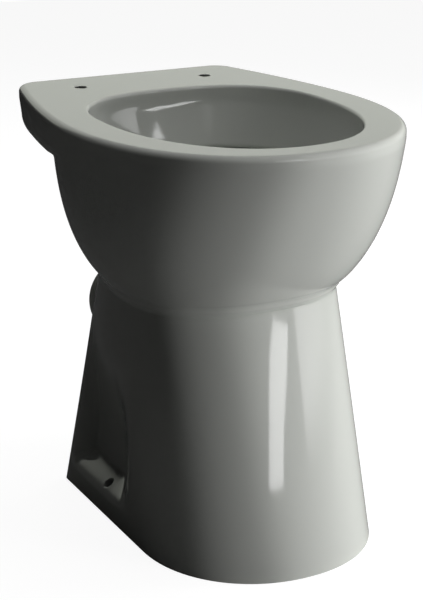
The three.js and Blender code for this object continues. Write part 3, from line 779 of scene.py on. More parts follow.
def glaze_tone() -> bpy.types.NodeTree:
    """Return the group for the glaze's colour: darker in hollows as painted shade, lighter on edges as a
    painted highlight, with faint clouds.
    """
    group, nodes, source, sink = new_group(
        "glaze_tone",
        {
            "Colour": ("NodeSocketColor", (0.6, 0.6, 0.6, 1)),
            "Shade and cloud colour": ("NodeSocketColor", (0.5, 0.5, 0.5, 1)),
            "Highlight colour": ("NodeSocketColor", (0.7, 0.7, 0.7, 1)),
            "Shade amount": ("NodeSocketFloat", 0.8),
            "Highlight amount": ("NodeSocketFloat", 0.6),
            "Cloud size": ("NodeSocketFloat", 0.11),
            "Cloud amount": ("NodeSocketFloat", 0.12),
            "Pinhole spacing": ("NodeSocketFloat", 0.017),
            "Pinhole amount": ("NodeSocketFloat", 0.25),
        },
        {"Colour": "NodeSocketColor", "Roughness rise": "NodeSocketFloat"},
    )
    values = source.outputs
    place = nodes.add("ShaderNodeNewGeometry").outputs["Position"]
    bend = nodes.add("ShaderNodeAttribute", {"attribute_name": BEND}).outputs["Fac"]
    # Painted shade: hollows are mixed towards the darker shade colour.
    hollow = nodes.math("MAXIMUM", nodes.math("MULTIPLY", bend, -1.0), 0.0)
    hollow = nodes.math("MINIMUM", nodes.math("MULTIPLY", hollow, values["Shade amount"]), 1.0)
    # Painted highlight: edges are mixed towards the lighter highlight colour.
    edge = nodes.math("MULTIPLY", nodes.math("MAXIMUM", bend, 0.0), values["Highlight amount"])
    tone = nodes.mix(hollow, values["Colour"], values["Shade and cloud colour"])
    tone = nodes.mix(nodes.math("MINIMUM", edge, 1.0), tone, values["Highlight colour"])
    cloud_scale = nodes.math("DIVIDE", 1.0, values["Cloud size"])
    cloud = nodes.add("ShaderNodeTexNoise", None, Vector=place, Scale=cloud_scale, Detail=2.0).outputs["Fac"]
    cloud = nodes.math("MULTIPLY", cloud, values["Cloud amount"])
    tone = nodes.mix(cloud, tone, values["Shade and cloud colour"])
    cell_scale = nodes.math("DIVIDE", 1.0, values["Pinhole spacing"])
    cells = nodes.add("ShaderNodeTexVoronoi", None, Vector=place, Scale=cell_scale, Randomness=1.0)
    pinhole = nodes.math("LESS_THAN", cells.outputs["Distance"], PINHOLE_SHARE)
    pinhole = nodes.math("MULTIPLY", pinhole, values["Pinhole amount"])
    nodes.feed(sink, "Colour", nodes.mix(pinhole, tone, (*PINHOLE_COLOUR, 1)))
    nodes.feed(sink, "Roughness rise", nodes.math("MULTIPLY", cloud, ROUGHNESS_RISE))
    return group


@dataclass(frozen=True)
class Glaze:
    """A glaze finish.

    Attributes:
        name: name of the material.
        colour: colour of the even glaze.
        pooled: darker colour painted into hollows as shade, and the colour of the faint clouds.
        edge: lighter colour painted onto edges as a highlight.
        roughness: roughness of the even glaze.
        wave_height: height of the slow waves.
        peel_height: height of the fine peel.
    """

    name: str
    colour: tuple[float, float, float]
    pooled: tuple[float, float, float]
    edge: tuple[float, float, float]
    roughness: float
    wave_height: float
    peel_height: float

    def build(self, ripple: bpy.types.NodeTree, tone: bpy.types.NodeTree) -> bpy.types.Material:
        """Return the finish as a material.

        Args:
            ripple: the group for the surface's waves.
            tone: the group for the glaze's colour.

        Returns:
            The new material.
        """
        material, nodes, shader = new_material(self.name)
        wave = nodes.add("ShaderNodeGroup", {"node_tree": ripple})
        nodes.feed(wave, "Wave height", self.wave_height)
        nodes.feed(wave, "Peel height", self.peel_height)
        paint = nodes.add("ShaderNodeGroup", {"node_tree": tone})
        # The second and third colours are painted shade in hollows and a painted highlight on edges.
        colours = {"Colour": self.colour, "Shade and cloud colour": self.pooled, "Highlight colour": self.edge}
        for label, colour in colours.items():
            nodes.feed(paint, label, (*colour, 1))
        bump = nodes.add("ShaderNodeBump", None, Strength=1.0, Distance=1.0, Height=wave.outputs["Height"])
        roughness = nodes.math("ADD", paint.outputs["Roughness rise"], self.roughness)
        nodes.feed(shader, "Base Color", paint.outputs["Colour"])
        nodes.feed(shader, "Roughness", roughness)
        nodes.feed(shader, "Normal", bump.outputs["Normal"])
        shader.inputs["IOR"].default_value = GLAZE_IOR
        return material


@dataclass(frozen=True)
class Biscuit:
    """The bare fired clay of the faces that are wiped clean of glaze.

    Attributes:
        name: name of the material.
        colour: colour of the clay.
        dust: colour of the grey that it takes up from the floor.
        roughness: roughness of the clay.
        grain_height: height of the grain.
        coarse_grain: size of the coarse grain.
        fine_grain: size of the fine grain.
        clouds_per_metre: how many dusty clouds lie along a metre.
    """

    name: str
    colour: tuple[float, float, float]
    dust: tuple[float, float, float]
    roughness: float
    grain_height: float
    coarse_grain: float = 3 * MM
    fine_grain: float = 0.6 * MM
    clouds_per_metre: float = 70.0

    def build(self, ripple: bpy.types.NodeTree) -> bpy.types.Material:
        """Return the finish as a material, with the group for waves set to a fine grain."""
        material, nodes, shader = new_material(self.name)
        grain = nodes.add("ShaderNodeGroup", {"node_tree": ripple})
        sizes = {"Wave": self.coarse_grain, "Peel": self.fine_grain}
        for label, size in sizes.items():
            nodes.feed(grain, f"{label} size", size)
            nodes.feed(grain, f"{label} height", self.grain_height)
        place = nodes.add("ShaderNodeNewGeometry").outputs["Position"]
        scale = self.clouds_per_metre
        cloud = nodes.add("ShaderNodeTexNoise", None, Vector=place, Scale=scale, Detail=4.0)
        tone = nodes.mix(cloud.outputs["Fac"], (*self.colour, 1), (*self.dust, 1))
        bump = nodes.add("ShaderNodeBump", None, Strength=1.0, Distance=1.0, Height=grain.outputs["Height"])
        nodes.feed(shader, "Base Color", tone)
        nodes.feed(shader, "Normal", bump.outputs["Normal"])
        shader.inputs["Roughness"].default_value = self.roughness
        return material


WHITE_GLAZE = Glaze(
    name="white_glaze",
    colour=(0.588, 0.602, 0.570),
    # Painted shade in hollows and painted highlight on edges.
    pooled=(0.52, 0.55, 0.505),
    edge=(0.63, 0.645, 0.605),
    roughness=0.035,
    wave_height=40e-6,
    peel_height=2.5e-6,
)
WATERWAY_GLAZE = Glaze(
    name="waterway_glaze",
    colour=(0.56, 0.575, 0.53),
    # Painted shade in hollows and painted highlight on edges.
    pooled=(0.48, 0.50, 0.455),
    edge=(0.61, 0.62, 0.575),
    roughness=0.14,
    wave_height=180e-6,
    peel_height=14e-6,
)
BISCUIT = Biscuit(
    name="bare_biscuit",
    colour=(0.66, 0.62, 0.54),
    dust=(0.50, 0.475, 0.43),
    roughness=0.82,
    grain_height=30e-6,
)


@dataclass(frozen=True)
class Finishes:
    """The finishes of the ware, as materials."""

    white: bpy.types.Material
    waterway: bpy.types.Material
    biscuit: bpy.types.Material

    @classmethod
    def build(cls) -> Finishes:
        """Return the finishes, with the effects that they share built once."""
        ripple, tone = glaze_ripple(), glaze_tone()
        return cls(
            white=WHITE_GLAZE.build(ripple, tone),
            waterway=WATERWAY_GLAZE.build(ripple, tone),
            biscuit=BISCUIT.build(ripple),
        )


@dataclass
class Ware:
    """One fired part of the pan.

    Attributes:
        form: the outer form that the part follows.
        name: name of its piece.
        castings: the castings that it stands for.
        slot: name of a material slot for the part; not used.
    """

    form: PanForm
    name: str
    castings: tuple[str, ...]
    slot: Slot

    @property
    def frame(self) -> Frame:
        """The driving sizes."""
        return self.form.frame

    def build(self) -> bpy.types.Object:
        """Return the part's mesh as a new piece."""
        raise NotImplementedError

    def dress(self, piece: bpy.types.Object, finishes: Finishes) -> None:
        """Give the piece its finish."""
        piece.data.materials.append(finishes.white)

    def make(self, finishes: Finishes) -> None:
        """Build the part, dress it and set it in the frame."""
        piece = self.build()
        smooth(piece)
        store_bend(piece)
        self.dress(piece, finishes)
        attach(piece, ROOT)
        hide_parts(*self.castings)
        LOG.info("%s: %d faces", piece.name, len(piece.data.polygons))

    def _bare(
        self,
        piece: bpy.types.Object,
        finish: bpy.types.Material,
        is_bare: Callable[[Vector, Vector], bool],
    ) -> None:
        """Leave faces without glaze.

        Args:
            piece: the piece.
            finish: the finish of the bare faces.
            is_bare: tells from a face's middle and normal whether it is bare.
        """
        piece.data.materials.append(finish)
        for face in piece.data.polygons:
            if is_bare(face.center, face.normal):
                face.material_index = 1


@dataclass
class PanBody(Ware):
    """Foot, bowl, rim and deck: the outer ware, fired as one."""

    foot_wall: float = 10 * MM
    wall: float = 9 * MM
    deck_thickness: float = 12 * MM
    deck_floor: float = 8 * MM
    rim_edge: float = 7 * MM
    lip: float = 3.5 * MM
    throat_taper: float = 13 * MM
    throat_bend_share: float = 0.3
    skirt_gap: float = 10 * MM
    foot_edge: float = 2 * MM
    throat: Egg = Egg(132 * MM, 251.7 * MM, 437 * MM, 117 * MM, nose=2.14, tail=2.6)
    seat_pitch: float = 160 * MM
    seat_depth: float = 61 * MM
    seat_hole: float = 7 * MM
    seat_hole_flare: float = 6 * MM
    seat_hole_edge: float = 0.7 * MM
    seat_neck_share: float = 0.8
    seat_pocket: float = 18 * MM
    seat_boss: float = 26 * MM
    hole_edge: float = 1.6 * MM
    inlet_drop: float = 34 * MM
    inlet_bore: float = 20 * MM
    inlet_boss: float = 29 * MM
    inlet_length: float = 44 * MM
    screw_depth: float = 206 * MM
    screw_hole: float = 6 * MM
    screw_mouth_shares: tuple[tuple[float, float], ...] = ((1.7, -1), (1.2, 0.5), (1.03, 1.5), (1.0, 2.5))
    back_flange: float = 22 * MM
    back_drop: float = 11 * MM
    back_round: float = 26 * MM
    back_edge: float = 2 * MM
    back_depth_shares: tuple[float, ...] = (-2.5, -0.05, 0.15, 0.45, 0.8, 1.1, 7.5)
    back_grow_shares: tuple[float, ...] = (1.3, 1.1, 0.68, 0.3, 0.07, 0.0, 0.0)
    overrun: float = 15 * MM

    def build(self) -> bpy.types.Object:
        """Return the outer ware as one closed mesh."""
        outer, throat, hollow = self._outer_rings(), self._throat_rings(), self._hollow_rings()
        rings = outer + self._between(outer[-1], throat[0], 14) + throat
        rings += self._between(throat[-1], hollow[0], 6) + hollow
        body = Solid.skinned(rings, wrap=True).piece(self.name)
        combine(body, self._bosses(), Cut.JOIN)
        holes = [*self._seat_holes(), self._inlet_bore(), *self._screw_holes(), self._back_opening()]
        combine(body, holes, Cut.TAKE)
        return body

    def dress(self, piece: bpy.types.Object, finishes: Finishes) -> None:
        """Glaze the ware, apart from the face that it stands on in the kiln."""
        piece.data.materials.append(finishes.white)
        reach = self.foot_edge / 4
        self._bare(piece, finishes.biscuit, lambda middle, normal: middle.z < reach and normal.z < -FACING)

    def _outer_rings(self) -> list[np.ndarray]:
        """Return the rings of the outer face, from the floor to the flat top of the rim."""
        form, frame = self.form, self.frame
        soft = 2 * form.waist_softening
        rings = []
        for angle in quarter_turn(5):
            rise = self.foot_edge * (1 - math.sin(angle))
            rings.append(form.ring(rise, rise))
        heights = spread(self.foot_edge, form.ledge_low - self.foot_edge, 6)[1:]
        heights += spread(form.ledge_low, form.ledge_high, 18)
        heights += spread(form.ledge_high, form.scoop_top, 38)[1:]
        heights += spread(form.scoop_top, frame.waist - soft, 9)[1:]
        heights += spread(frame.waist - soft, frame.waist + soft, 31)[1:]
        heights += spread(frame.waist + soft, form.deck_bottom, 32)[1:]
        rings += [form.ring(height, with_deck=False) for height in heights]
        rings += [form.ring(form.deck_skirt - form.deck_drop * math.cos(angle)) for angle in quarter_turn(18)]
        edge_start = frame.height - self.rim_edge
        rings += [form.ring(height) for height in spread(form.deck_skirt, edge_start, 9)[1:]]
        for angle in quarter_turn(12)[1:]:
            height = edge_start + self.rim_edge * math.sin(angle)
            rings.append(form.ring(height, self.rim_edge * (1 - math.cos(angle))))
        return rings

    def _throat_ring(self, grow: float, height: float) -> np.ndarray:
        """Return a ring of the throat, grown outwards, at a height."""
        form = self.form
        half = np.minimum(form.directions, 2 * math.pi - form.directions)
        return form.polar(self.throat.grown(grow).reach(half, form.spine), height)

    def _throat_rings(self) -> list[np.ndarray]:
        """Return the rings of the lip and of the skirt under it, down and up again to the channel's top."""
        frame = self.frame
        lip_start = frame.height - self.lip
        half_wall = self.wall / 2
        skirt_turn = frame.rim_joint + self.skirt_gap + half_wall
        rings = []
        for angle in quarter_turn(11)[::-1]:
            height = lip_start + self.lip * math.sin(angle)
            rings.append(self._throat_ring(self.lip * (1 - math.cos(angle)), height))
        bend = self.throat_bend_share
        for share in spread(0.0, 1.0, 22)[1:]:
            run = share**2 / (2 * bend) if share < bend else share - bend / 2
            taper = self.throat_taper * run / (1 - bend / 2)
            rings.append(self._throat_ring(-taper, lerp(lip_start, skirt_turn, share)))
        for angle in spread(0, math.pi, 11)[1:]:
            grow = half_wall * (1 - math.cos(angle)) - self.throat_taper
            rings.append(self._throat_ring(grow, skirt_turn - half_wall * math.sin(angle)))
        ceiling = frame.height - self.deck_thickness
        for share in spread(0.0, 1.0, 9)[1:]:
            grow = self.wall - self.throat_taper * (1 - share)
            rings.append(self._throat_ring(grow, lerp(skirt_turn, ceiling, share)))
        return rings

    def _hollow_rings(self) -> list[np.ndarray]:
        """Return the rings of the inside, from the channel's top down to the floor."""
        form, frame = self.form, self.frame
        floor_top = form.deck_bottom + self.deck_floor
        ceiling = frame.height - self.deck_thickness
        soft = 2 * form.waist_softening
        rings = [form.ring(height, self.wall, self.deck_floor) for height in spread(ceiling, floor_top, 14)]
        heights = spread(floor_top, frame.waist + soft, 18)
        rings += [form.ring(height, self.wall, with_deck=False) for height in heights]
        for height in spread(frame.waist + soft, frame.waist - soft, 16)[1:]:
            share = (frame.waist + soft - height) / (2 * soft)
            rings.append(form.ring(height, lerp(self.wall, self.foot_wall, share)))
        heights = spread(frame.waist - soft, form.ledge_high, 22)[1:]
        heights += spread(form.ledge_high, form.ledge_low, 10)[1:]
        heights += spread(form.ledge_low, 0.0, 4)[1:]
        return rings + [form.ring(height, self.foot_wall) for height in heights]

    @staticmethod
    def _between(first: np.ndarray, last: np.ndarray, count: int) -> list[np.ndarray]:
        """Return count rings evenly spaced between two, without them."""
        return [first + (last - first) * share for share in spread(0.0, 1.0, count + 2)[1:-1]]

    def _inlet_bar(self, radius: float, length: float) -> Solid:
        """Return a bar along the flush inlet, from behind the deck forwards."""
        start = Vector((0, self.frame.y_at(-self.overrun), self.frame.height - self.inlet_drop))
        return Solid.turned([(radius, 0), (radius, length + self.overrun)], start, Vector((0, -1, 0)))

    def _inlet_bore(self) -> Solid:
        """Return the cut of the flush inlet's bore, with a soft mouth at the deck's rear face."""
        profile = []
        for angle in quarter_turn(7)[::-1]:
            depth = self.hole_edge * (1 - math.sin(angle))
            profile.append((self.inlet_bore + self.hole_edge - depth, depth))
        start = Vector((0, self.frame.y_at(0.0), self.frame.height - self.inlet_drop))
        profile = [(profile[0][0] + self.overrun, -self.overrun)] + profile
        profile.append((self.inlet_bore, self.inlet_length + self.overrun))
        return Solid.turned(profile, start, Vector((0, -1, 0)))

    def _bosses(self) -> list[Solid]:
        """Return the bosses inside the deck: round the flush inlet and under the seat holes."""
        form = self.form
        sunk = self.deck_floor / 2
        low, high = form.deck_bottom + sunk, self.frame.height - sunk
        inside = [form.ring(height, sunk, sunk) for height in spread(low, high, 24)]
        boss = self._inlet_bar(self.inlet_boss, self.inlet_length).piece("inlet_boss")
        combine(boss, [Solid.skinned(inside)], Cut.KEEP)
        places = [vertex.co[:] for vertex in boss.data.vertices]
        solids = [Solid(np.array(places), [list(face.vertices) for face in boss.data.polygons])]
        bpy.data.objects.remove(boss)
        profile = [(self.seat_boss, 0), (self.seat_boss, high - low)]
        return solids + [Solid.turned(profile, start, Vector((0, 0, 1))) for start in self._seat_points(low)]

    def _seat_points(self, height: float) -> list[Vector]:
        """Return the points of the two seat holes at a height."""
        y = self.frame.y_at(self.seat_depth)
        return [Vector((side * self.seat_pitch / 2, y, height)) for side in (-1, 1)]

    def _seat_holes(self) -> list[Solid]:
        """Return the cuts of the seat holes: a soft mouth, a flare below it and the pocket for the nut."""
        low = self.frame.rim_joint
        rise = self.frame.height - low
        ceiling = rise - self.deck_thickness
        soft = self.seat_hole_edge
        wide = self.seat_hole + self.seat_hole_flare
        profile = [(self.seat_pocket, 0), (self.seat_pocket, ceiling), (wide, ceiling)]
        profile.append((wide, lerp(ceiling, rise, self.seat_neck_share)))
        for angle in spread(0, math.radians(MOUTH_TURN), 7):
            radius = self.seat_hole + soft * (1 - math.cos(angle))
            profile.append((radius, rise - soft * (1 - math.sin(angle))))
        slope = math.tan(math.radians(MOUTH_TURN))
        profile.append((profile[-1][0] + soft * slope, profile[-1][1] + soft))
        return [Solid.turned(profile, start, Vector((0, 0, 1))) for start in self._seat_points(low)]

    def _screw_holes(self) -> list[Solid]:
        """Return the cuts of the slanted screw holes with their soft mouths."""
        outside = 2 * self.overrun
        hole = self.screw_hole
        profile = [(self.screw_mouth_shares[0][0] * hole, 0)]
        profile += [(wide * hole, outside + deep * self.hole_edge) for wide, deep in self.screw_mouth_shares]
        cuts = []
        for side in (-1, 1):
            middle, inwards = screw_line(self.form, self.screw_depth, side)
            length = math.sqrt(2) * (middle.z + self.overrun)
            start = middle - inwards * outside
            cuts.append(Solid.turned(profile + [(hole, outside + length)], start, inwards))
        return cuts

    def _back_opening(self) -> Solid:
        """Return the cut of the opening in the back of the foot, with a soft outer edge."""
        form, frame = self.form, self.frame
        foot = frame.base_half_width - self.back_flange
        top = form.waist_rear_half_width - self.back_flange
        height = frame.waist - self.back_drop
        shoulder = height - self.back_round
        edge = self.back_edge
        bend = np.linspace(0.0, 1.0, 14)[:, None]
        rings = []
        for depth, share in zip(self.back_depth_shares, self.back_grow_shares):
            grow = edge * share
            start = np.array([lerp(foot, top, shoulder / frame.waist) + grow, shoulder])
            tip = np.array([top + grow, height + grow])
            end = np.array([top - self.back_round, height + grow])
            corner = (1 - bend) ** 2 * start + 2 * bend * (1 - bend) * tip + bend**2 * end
            right = np.vstack([[[foot + grow, -self.overrun], [foot + grow, 0.0]], corner])
            shape = np.vstack([right, right[::-1] * np.array([-1, 1])])
            y = np.full(len(shape), frame.y_at(frame.foot_rear + depth * edge))
            rings.append(np.column_stack([shape[:, 0], y, shape[:, 1]]))
        return Solid.skinned(rings)


@dataclass
class Basin(Ware):
    """The inner bowl: a funnel from under the rim down to the trap, on a flange inside the outer bowl."""

    wall: float = 8 * MM
    flange: float = 8 * MM
    joint: float = 9.3 * MM
    inlet_depth: float = 304 * MM
    bore: float = 28 * MM
    front_spacing: float = 20 * MM
    bend: float = 9 * MM
    side_power: float = 1.6
    rear_power: float = 1.75
    top: Egg = Egg(127 * MM, 252 * MM, 423 * MM, 113 * MM, nose=2.14, tail=2.3)
    around: int = 240

    def _front_at(self, height: float) -> float:
        """Return the depth of the funnel's front, which follows the bowl's nose above the waist."""
        frame = self.frame
        if height > frame.waist:
            return self.form.front_at(height) - self.front_spacing
        share = max(height - frame.trap_top, 0.0) / (frame.waist - frame.trap_top)
        return lerp(self.inlet_depth + self.bore, self.form.waist_front - self.front_spacing, share)

    def outline(self, height: float) -> Egg:
        """Return the funnel's inside outline at a height, with the bend in its front softened."""
        share = (height - self.frame.trap_top) / (self.frame.rim_joint - self.frame.trap_top)
        side = 1 - (1 - share) ** self.side_power
        reach = self.bend * max(0.0, 1 - abs(height - self.frame.waist) / (2 * self.bend))
        fronts = [self._front_at(height + reach * step) for step in spread(-1, 1, 9)]
        return Egg(
            half_width=lerp(self.bore, self.top.half_width, side),
            widest=lerp(self.inlet_depth, self.top.widest, side),
            front=sum(fronts) / len(fronts),
            rear=lerp(self.inlet_depth - self.bore, self.top.rear, share**self.rear_power),
            nose=lerp(ROUND, self.top.nose, share),
            tail=lerp(ROUND, self.top.tail, share),
        )

    def _points(self, height: float, grow: float = 0.0) -> np.ndarray:
        """Return points round the funnel as rows of x and depth."""
        return self.outline(height).grown(grow).points(spread(0.0, 2 * math.pi, self.around + 1)[:-1])

    def _ring(self, height: float, grow: float = 0.0) -> np.ndarray:
        """Return a ring of the funnel."""
        points = self._points(height, grow)
        return np.column_stack([points[:, 0], self.frame.y_at(points[:, 1]), np.full(len(points), height)])

    def build(self) -> bpy.types.Object:
        """Return the basin as one closed mesh."""
        low, high = self.frame.trap_top, self.frame.rim_joint
        under = high - self.flange
        edge = self.wall / 3
        rings = [self._ring(height, self.wall) for height in spread(low, under, 56)]
        points = self._points(high, self.wall)
        angles = np.arctan2(-points[:, 0], self.form.spine - points[:, 1]) % (2 * math.pi)
        rings += [self.form.ring(height, self.joint, angles=angles) for height in (under, high)]
        for angle in quarter_turn(7)[::-1]:
            drop = edge * (1 - math.sin(angle))
            rings.append(self._ring(high, edge * (1 - math.cos(angle))) - [0, 0, drop])
        rings += [self._ring(height) for height in spread(high - edge, low, 70)[1:]]
        return Solid.skinned(rings, wrap=True).piece(self.name)


@dataclass(frozen=True)
class TrapLine:
    """The centre line of the water trap, in the plane of symmetry. Depths run from the deck's rear edge."""

    frame: Frame
    inlet_depth: float = 304 * MM
    bend: float = 40 * MM
    dip_drop: float = 14 * MM
    weir_depth: float = 176 * MM
    weir_rise: float = 23 * MM
    outlet_bend: float = 62 * MM
    outlet_depth: float = 69 * MM
    arc_points: int = 400

    def points(self) -> np.ndarray:
        """Return points from the basin's outlet to the start of the spigot, as rows of Y and Z."""
        frame = self.frame
        arcs = (
            (self.inlet_depth - self.bend, frame.trap_top - self.dip_drop, self.bend, 180, 350),
            (self.weir_depth, frame.trap_top + self.weir_rise, self.bend, 170, 30),
            (self.outlet_depth, frame.outlet + self.outlet_bend, self.outlet_bend, 210, 270),
        )
        points = [np.array([[frame.y_at(self.inlet_depth), frame.trap_top]])]
        for depth, height, radius, start, end in arcs:
            turn = np.radians(np.linspace(start, end, self.arc_points))
            y, z = frame.y_at(depth) + radius * np.cos(turn), height + radius * np.sin(turn)
            points.append(np.column_stack([y, z]))
        return np.vstack(points)

    @staticmethod
    def ring(place: np.ndarray, tangent: np.ndarray, radius: float, count: int = 120) -> np.ndarray:
        """Return a ring round the line.

        Args:
            place: the ring's middle, as Y and Z.
            tangent: the line's direction there.
            radius: the ring's radius.
            count: points round the ring.

        Returns:
            Rows of X, Y and Z.
        """
        turn = np.linspace(0.0, 2 * math.pi, count, endpoint=False)
        across, out = radius * np.sin(turn), radius * np.cos(turn)
        return np.column_stack([across, place[0] - tangent[1] * out, place[1] + tangent[0] * out])


@dataclass
class Waterway(Ware):
    """The trap, from the basin down the dip, up over the weir and out through the spigot."""

    bore: float = 28 * MM
    wall: float = 7 * MM
    spigot_bore: float = 42 * MM
    edge: float = 3 * MM
    widening_share: float = 0.7
    step: float = 2 * MM

    def build(self) -> bpy.types.Object:
        """Return the waterway as one closed mesh."""
        places, tangents, shares = self._stations()
        bores = self.bore + (self.spigot_bore - self.bore) * smoothstep(shares, self.widening_share, 1.0)
        collar = smoothstep(shares, 1.0, 1.0 + 2 * (shares[1] - shares[0]))
        walls = self.wall + (self.frame.spigot - self.spigot_bore - self.wall) * collar
        keep = range(int(np.sum(places[-1][0] - places[:, 0] > self.edge)))
        ring = TrapLine.ring
        rings = [ring(places[index], tangents[index], bores[index] + walls[index]) for index in keep]
        rings += self._tip(places[-1], tangents[-1])
        rings += [ring(places[index], tangents[index], bores[index]) for index in reversed(keep)]
        return Solid.skinned(rings, wrap=True).piece(self.name)

    def dress(self, piece: bpy.types.Object, finishes: Finishes) -> None:
        """Glaze the waterway, apart from the face that the pan connector seals against."""
        piece.data.materials.append(finishes.waterway)
        end = self.frame.y_at(0.0) - self.edge / 4
        self._bare(piece, finishes.biscuit, lambda middle, normal: middle.y > end and normal.y > FACING)

    def _tip(self, end: np.ndarray, ahead: np.ndarray) -> list[np.ndarray]:
        """Return the rings over the rounded end of the spigot."""
        quarter, rings = quarter_turn(7), []
        for angles, radius, side in ((quarter, self.frame.spigot, -1), (quarter[::-1], self.spigot_bore, 1)):
            for angle in angles:
                back = end - ahead * self.edge * (1 - math.sin(angle))
                rings.append(TrapLine.ring(back, ahead, radius + side * self.edge * (1 - math.cos(angle))))
        return rings

    def _stations(self) -> tuple[np.ndarray, np.ndarray, np.ndarray]:
        """Return places along the waterway, the directions there, and how far along the trap they lie."""
        trap = TrapLine(self.frame).points()
        length = float(np.hypot(*np.diff(trap, axis=0).T).sum())
        line = np.vstack([trap, [[self.frame.y_at(0.0), self.frame.outlet]]])
        along = np.concatenate([[0.0], np.cumsum(np.hypot(*np.diff(line, axis=0).T))])
        even = np.linspace(0.0, along[-1], int(along[-1] / self.step))
        places = np.column_stack([np.interp(even, along, line[:, 0]), np.interp(even, along, line[:, 1])])
        tangents = np.gradient(places, axis=0)
        return places, tangents / np.hypot(*tangents.T)[:, None], even / length


def foot_inside(form: PanForm, wall: float) -> Solid:
    """Return the space inside the foot, a wall away from its outer face."""
    heights = spread(0.0, form.ledge_low, 4) + spread(form.ledge_low, form.ledge_high, 12)[1:]
    heights += spread(form.ledge_high, form.frame.waist, 24)[1:]
    return Solid.skinned([form.ring(height, wall) for height in heights])


def screw_line(form: PanForm, depth: float, side: int) -> tuple[Vector, Vector]:
    """Return the middle of a ledge and the way of its screw into the foot.

    Args:
        form: the outer form.
        depth: depth of the screw from the deck's rear edge.
        side: -1 on the left and 1 on the right.

    Returns:
        The point on the ledge, and the direction.
    """
    height = (form.ledge_low + form.ledge_high) / 2
    across = form.frame.base_half_width - float(form.scoop(np.array(depth), height))
    return Vector((side * across, form.frame.y_at(depth), height)), Vector((-side, 0, -1)).normalized()


@dataclass
class TrapBridge(Ware):
    """The web across the foot that the trap's dip rests in, with an arch in its underside."""

    depth: float = 246 * MM
    thickness: float = 12 * MM
    foot_height: float = 62 * MM
    arch_rise: float = 42 * MM
    top: float = 150 * MM
    edge: float = 2.5 * MM
    foot_wall: float = 10 * MM
    trap_radius: float = 35 * MM
    trap_reach: float = 50 * MM
    section_points: int = 24
    sections: int = 61
    trap_stride: int = 12
    joint: float = 0.3 * MM

    def build(self) -> bpy.types.Object:
        """Return the web, with soft edges, fitted to the foot and the trap."""
        web = Solid.skinned(self._rings()).piece(self.name)
        combine(web, [foot_inside(self.form, self.foot_wall + self.joint)], Cut.KEEP)
        combine(web, [self._trap()], Cut.TAKE)
        return web

    def _rings(self) -> list[np.ndarray]:
        """Return the web's sections, rounded rectangles, from its left end to its right end."""
        turns = (np.arange(self.section_points) + 0.5) * 2 * math.pi / self.section_points
        cosine, sine = np.cos(turns), np.sin(turns)
        y = np.sign(cosine) * (self.thickness / 2 - self.edge) + self.edge * cosine
        rings = []
        for across in spread(-1.0, 1.0, self.sections):
            low = self.foot_height + self.arch_rise * (1 - across**2)
            tall = (self.top - low) / 2
            z = self.top - tall + np.sign(sine) * (tall - self.edge) + self.edge * sine
            x = np.full(len(y), across * self.frame.base_half_width)
            rings.append(np.column_stack([x, y + self.frame.y_at(self.depth), z]))
        return rings

    def _trap(self) -> Solid:
        """Return the space that the trap's dip takes up."""
        points = TrapLine(self.frame).points()[:: self.trap_stride]
        tangents = np.gradient(points, axis=0)
        tangents /= np.hypot(*tangents.T)[:, None]
        end = self.frame.y_at(self.depth) + self.trap_reach
        keep = [index for index, point in enumerate(points) if point[0] < end]
        radius = self.trap_radius + self.joint
        return Solid.skinned([TrapLine.ring(points[index], tangents[index], radius) for index in keep])


@dataclass
class FixingBoss(Ware):
    """The thick slanted seat behind a ledge, which the floor screw passes through."""

    side: int = -1
    screw_depth: float = 206 * MM
    screw_hole: float = 6 * MM
    radius: float = 15 * MM
    foot_wall: float = 10 * MM
    joint: float = 0.3 * MM
    overrun: float = 15 * MM

    def build(self) -> bpy.types.Object:
        """Return the boss, fitted to the foot and flush with the floor."""
        middle, inwards = screw_line(self.form, self.screw_depth, self.side)
        start = middle - inwards * 2 * self.overrun
        length = math.sqrt(2) * (middle.z + self.overrun) + 3 * self.overrun
        boss = Solid.turned([(self.radius, 0), (self.radius, length)], start, inwards).piece(self.name)
        combine(boss, [foot_inside(self.form, self.foot_wall + self.joint)], Cut.KEEP)
        hole = [(self.screw_hole, 0), (self.screw_hole, length)]
        combine(boss, [Solid.turned(hole, start, inwards)], Cut.TAKE)
        return boss

    def dress(self, piece: bpy.types.Object, finishes: Finishes) -> None:
        """Glaze the boss, apart from the face on the floor."""
        piece.data.materials.append(finishes.white)
        self._bare(piece, finishes.biscuit, lambda middle, normal: normal.z < -LEVEL)


def away(azimuth: float, elevation: float) -> Vector:
    """Return a direction away from the pan, in degrees from its front to its right and up from level."""
    around, above = math.radians(azimuth), math.radians(elevation)
    flat = math.cos(above)
    return Vector((math.sin(around) * flat, -math.cos(around) * flat, math.sin(above)))


@dataclass(frozen=True)
class Softbox:
    """A square soft lamp, which lights the ware and isn't mirrored in its glaze.

    Attributes:
        name: name of the lamp.
        azimuth: degrees from the front of the pan towards its right.
        elevation: degrees above the pan's middle.
        size: length of its sides in metres.
        glow: brightness of its face, where 1 is white.
        distance: metres from the pan's middle.
    """

    name: str
    azimuth: float
    elevation: float
    size: float
    glow: float
    distance: float = 2.2

    def build(self, target: Vector) -> None:
        """Place the lamp so that it faces the target."""
        lamp = bpy.data.lights.new(self.name, "AREA")
        lamp.size = self.size
        lamp.energy = self.glow * math.pi * self.size**2
        box = bpy.data.objects.new(self.name, lamp)
        direction = away(self.azimuth, self.elevation)
        box.location = target + direction * self.distance
        box.rotation_euler = direction.to_track_quat("Z", "Y").to_euler()
        box.visible_glossy = False
        bpy.context.scene.collection.objects.link(box)


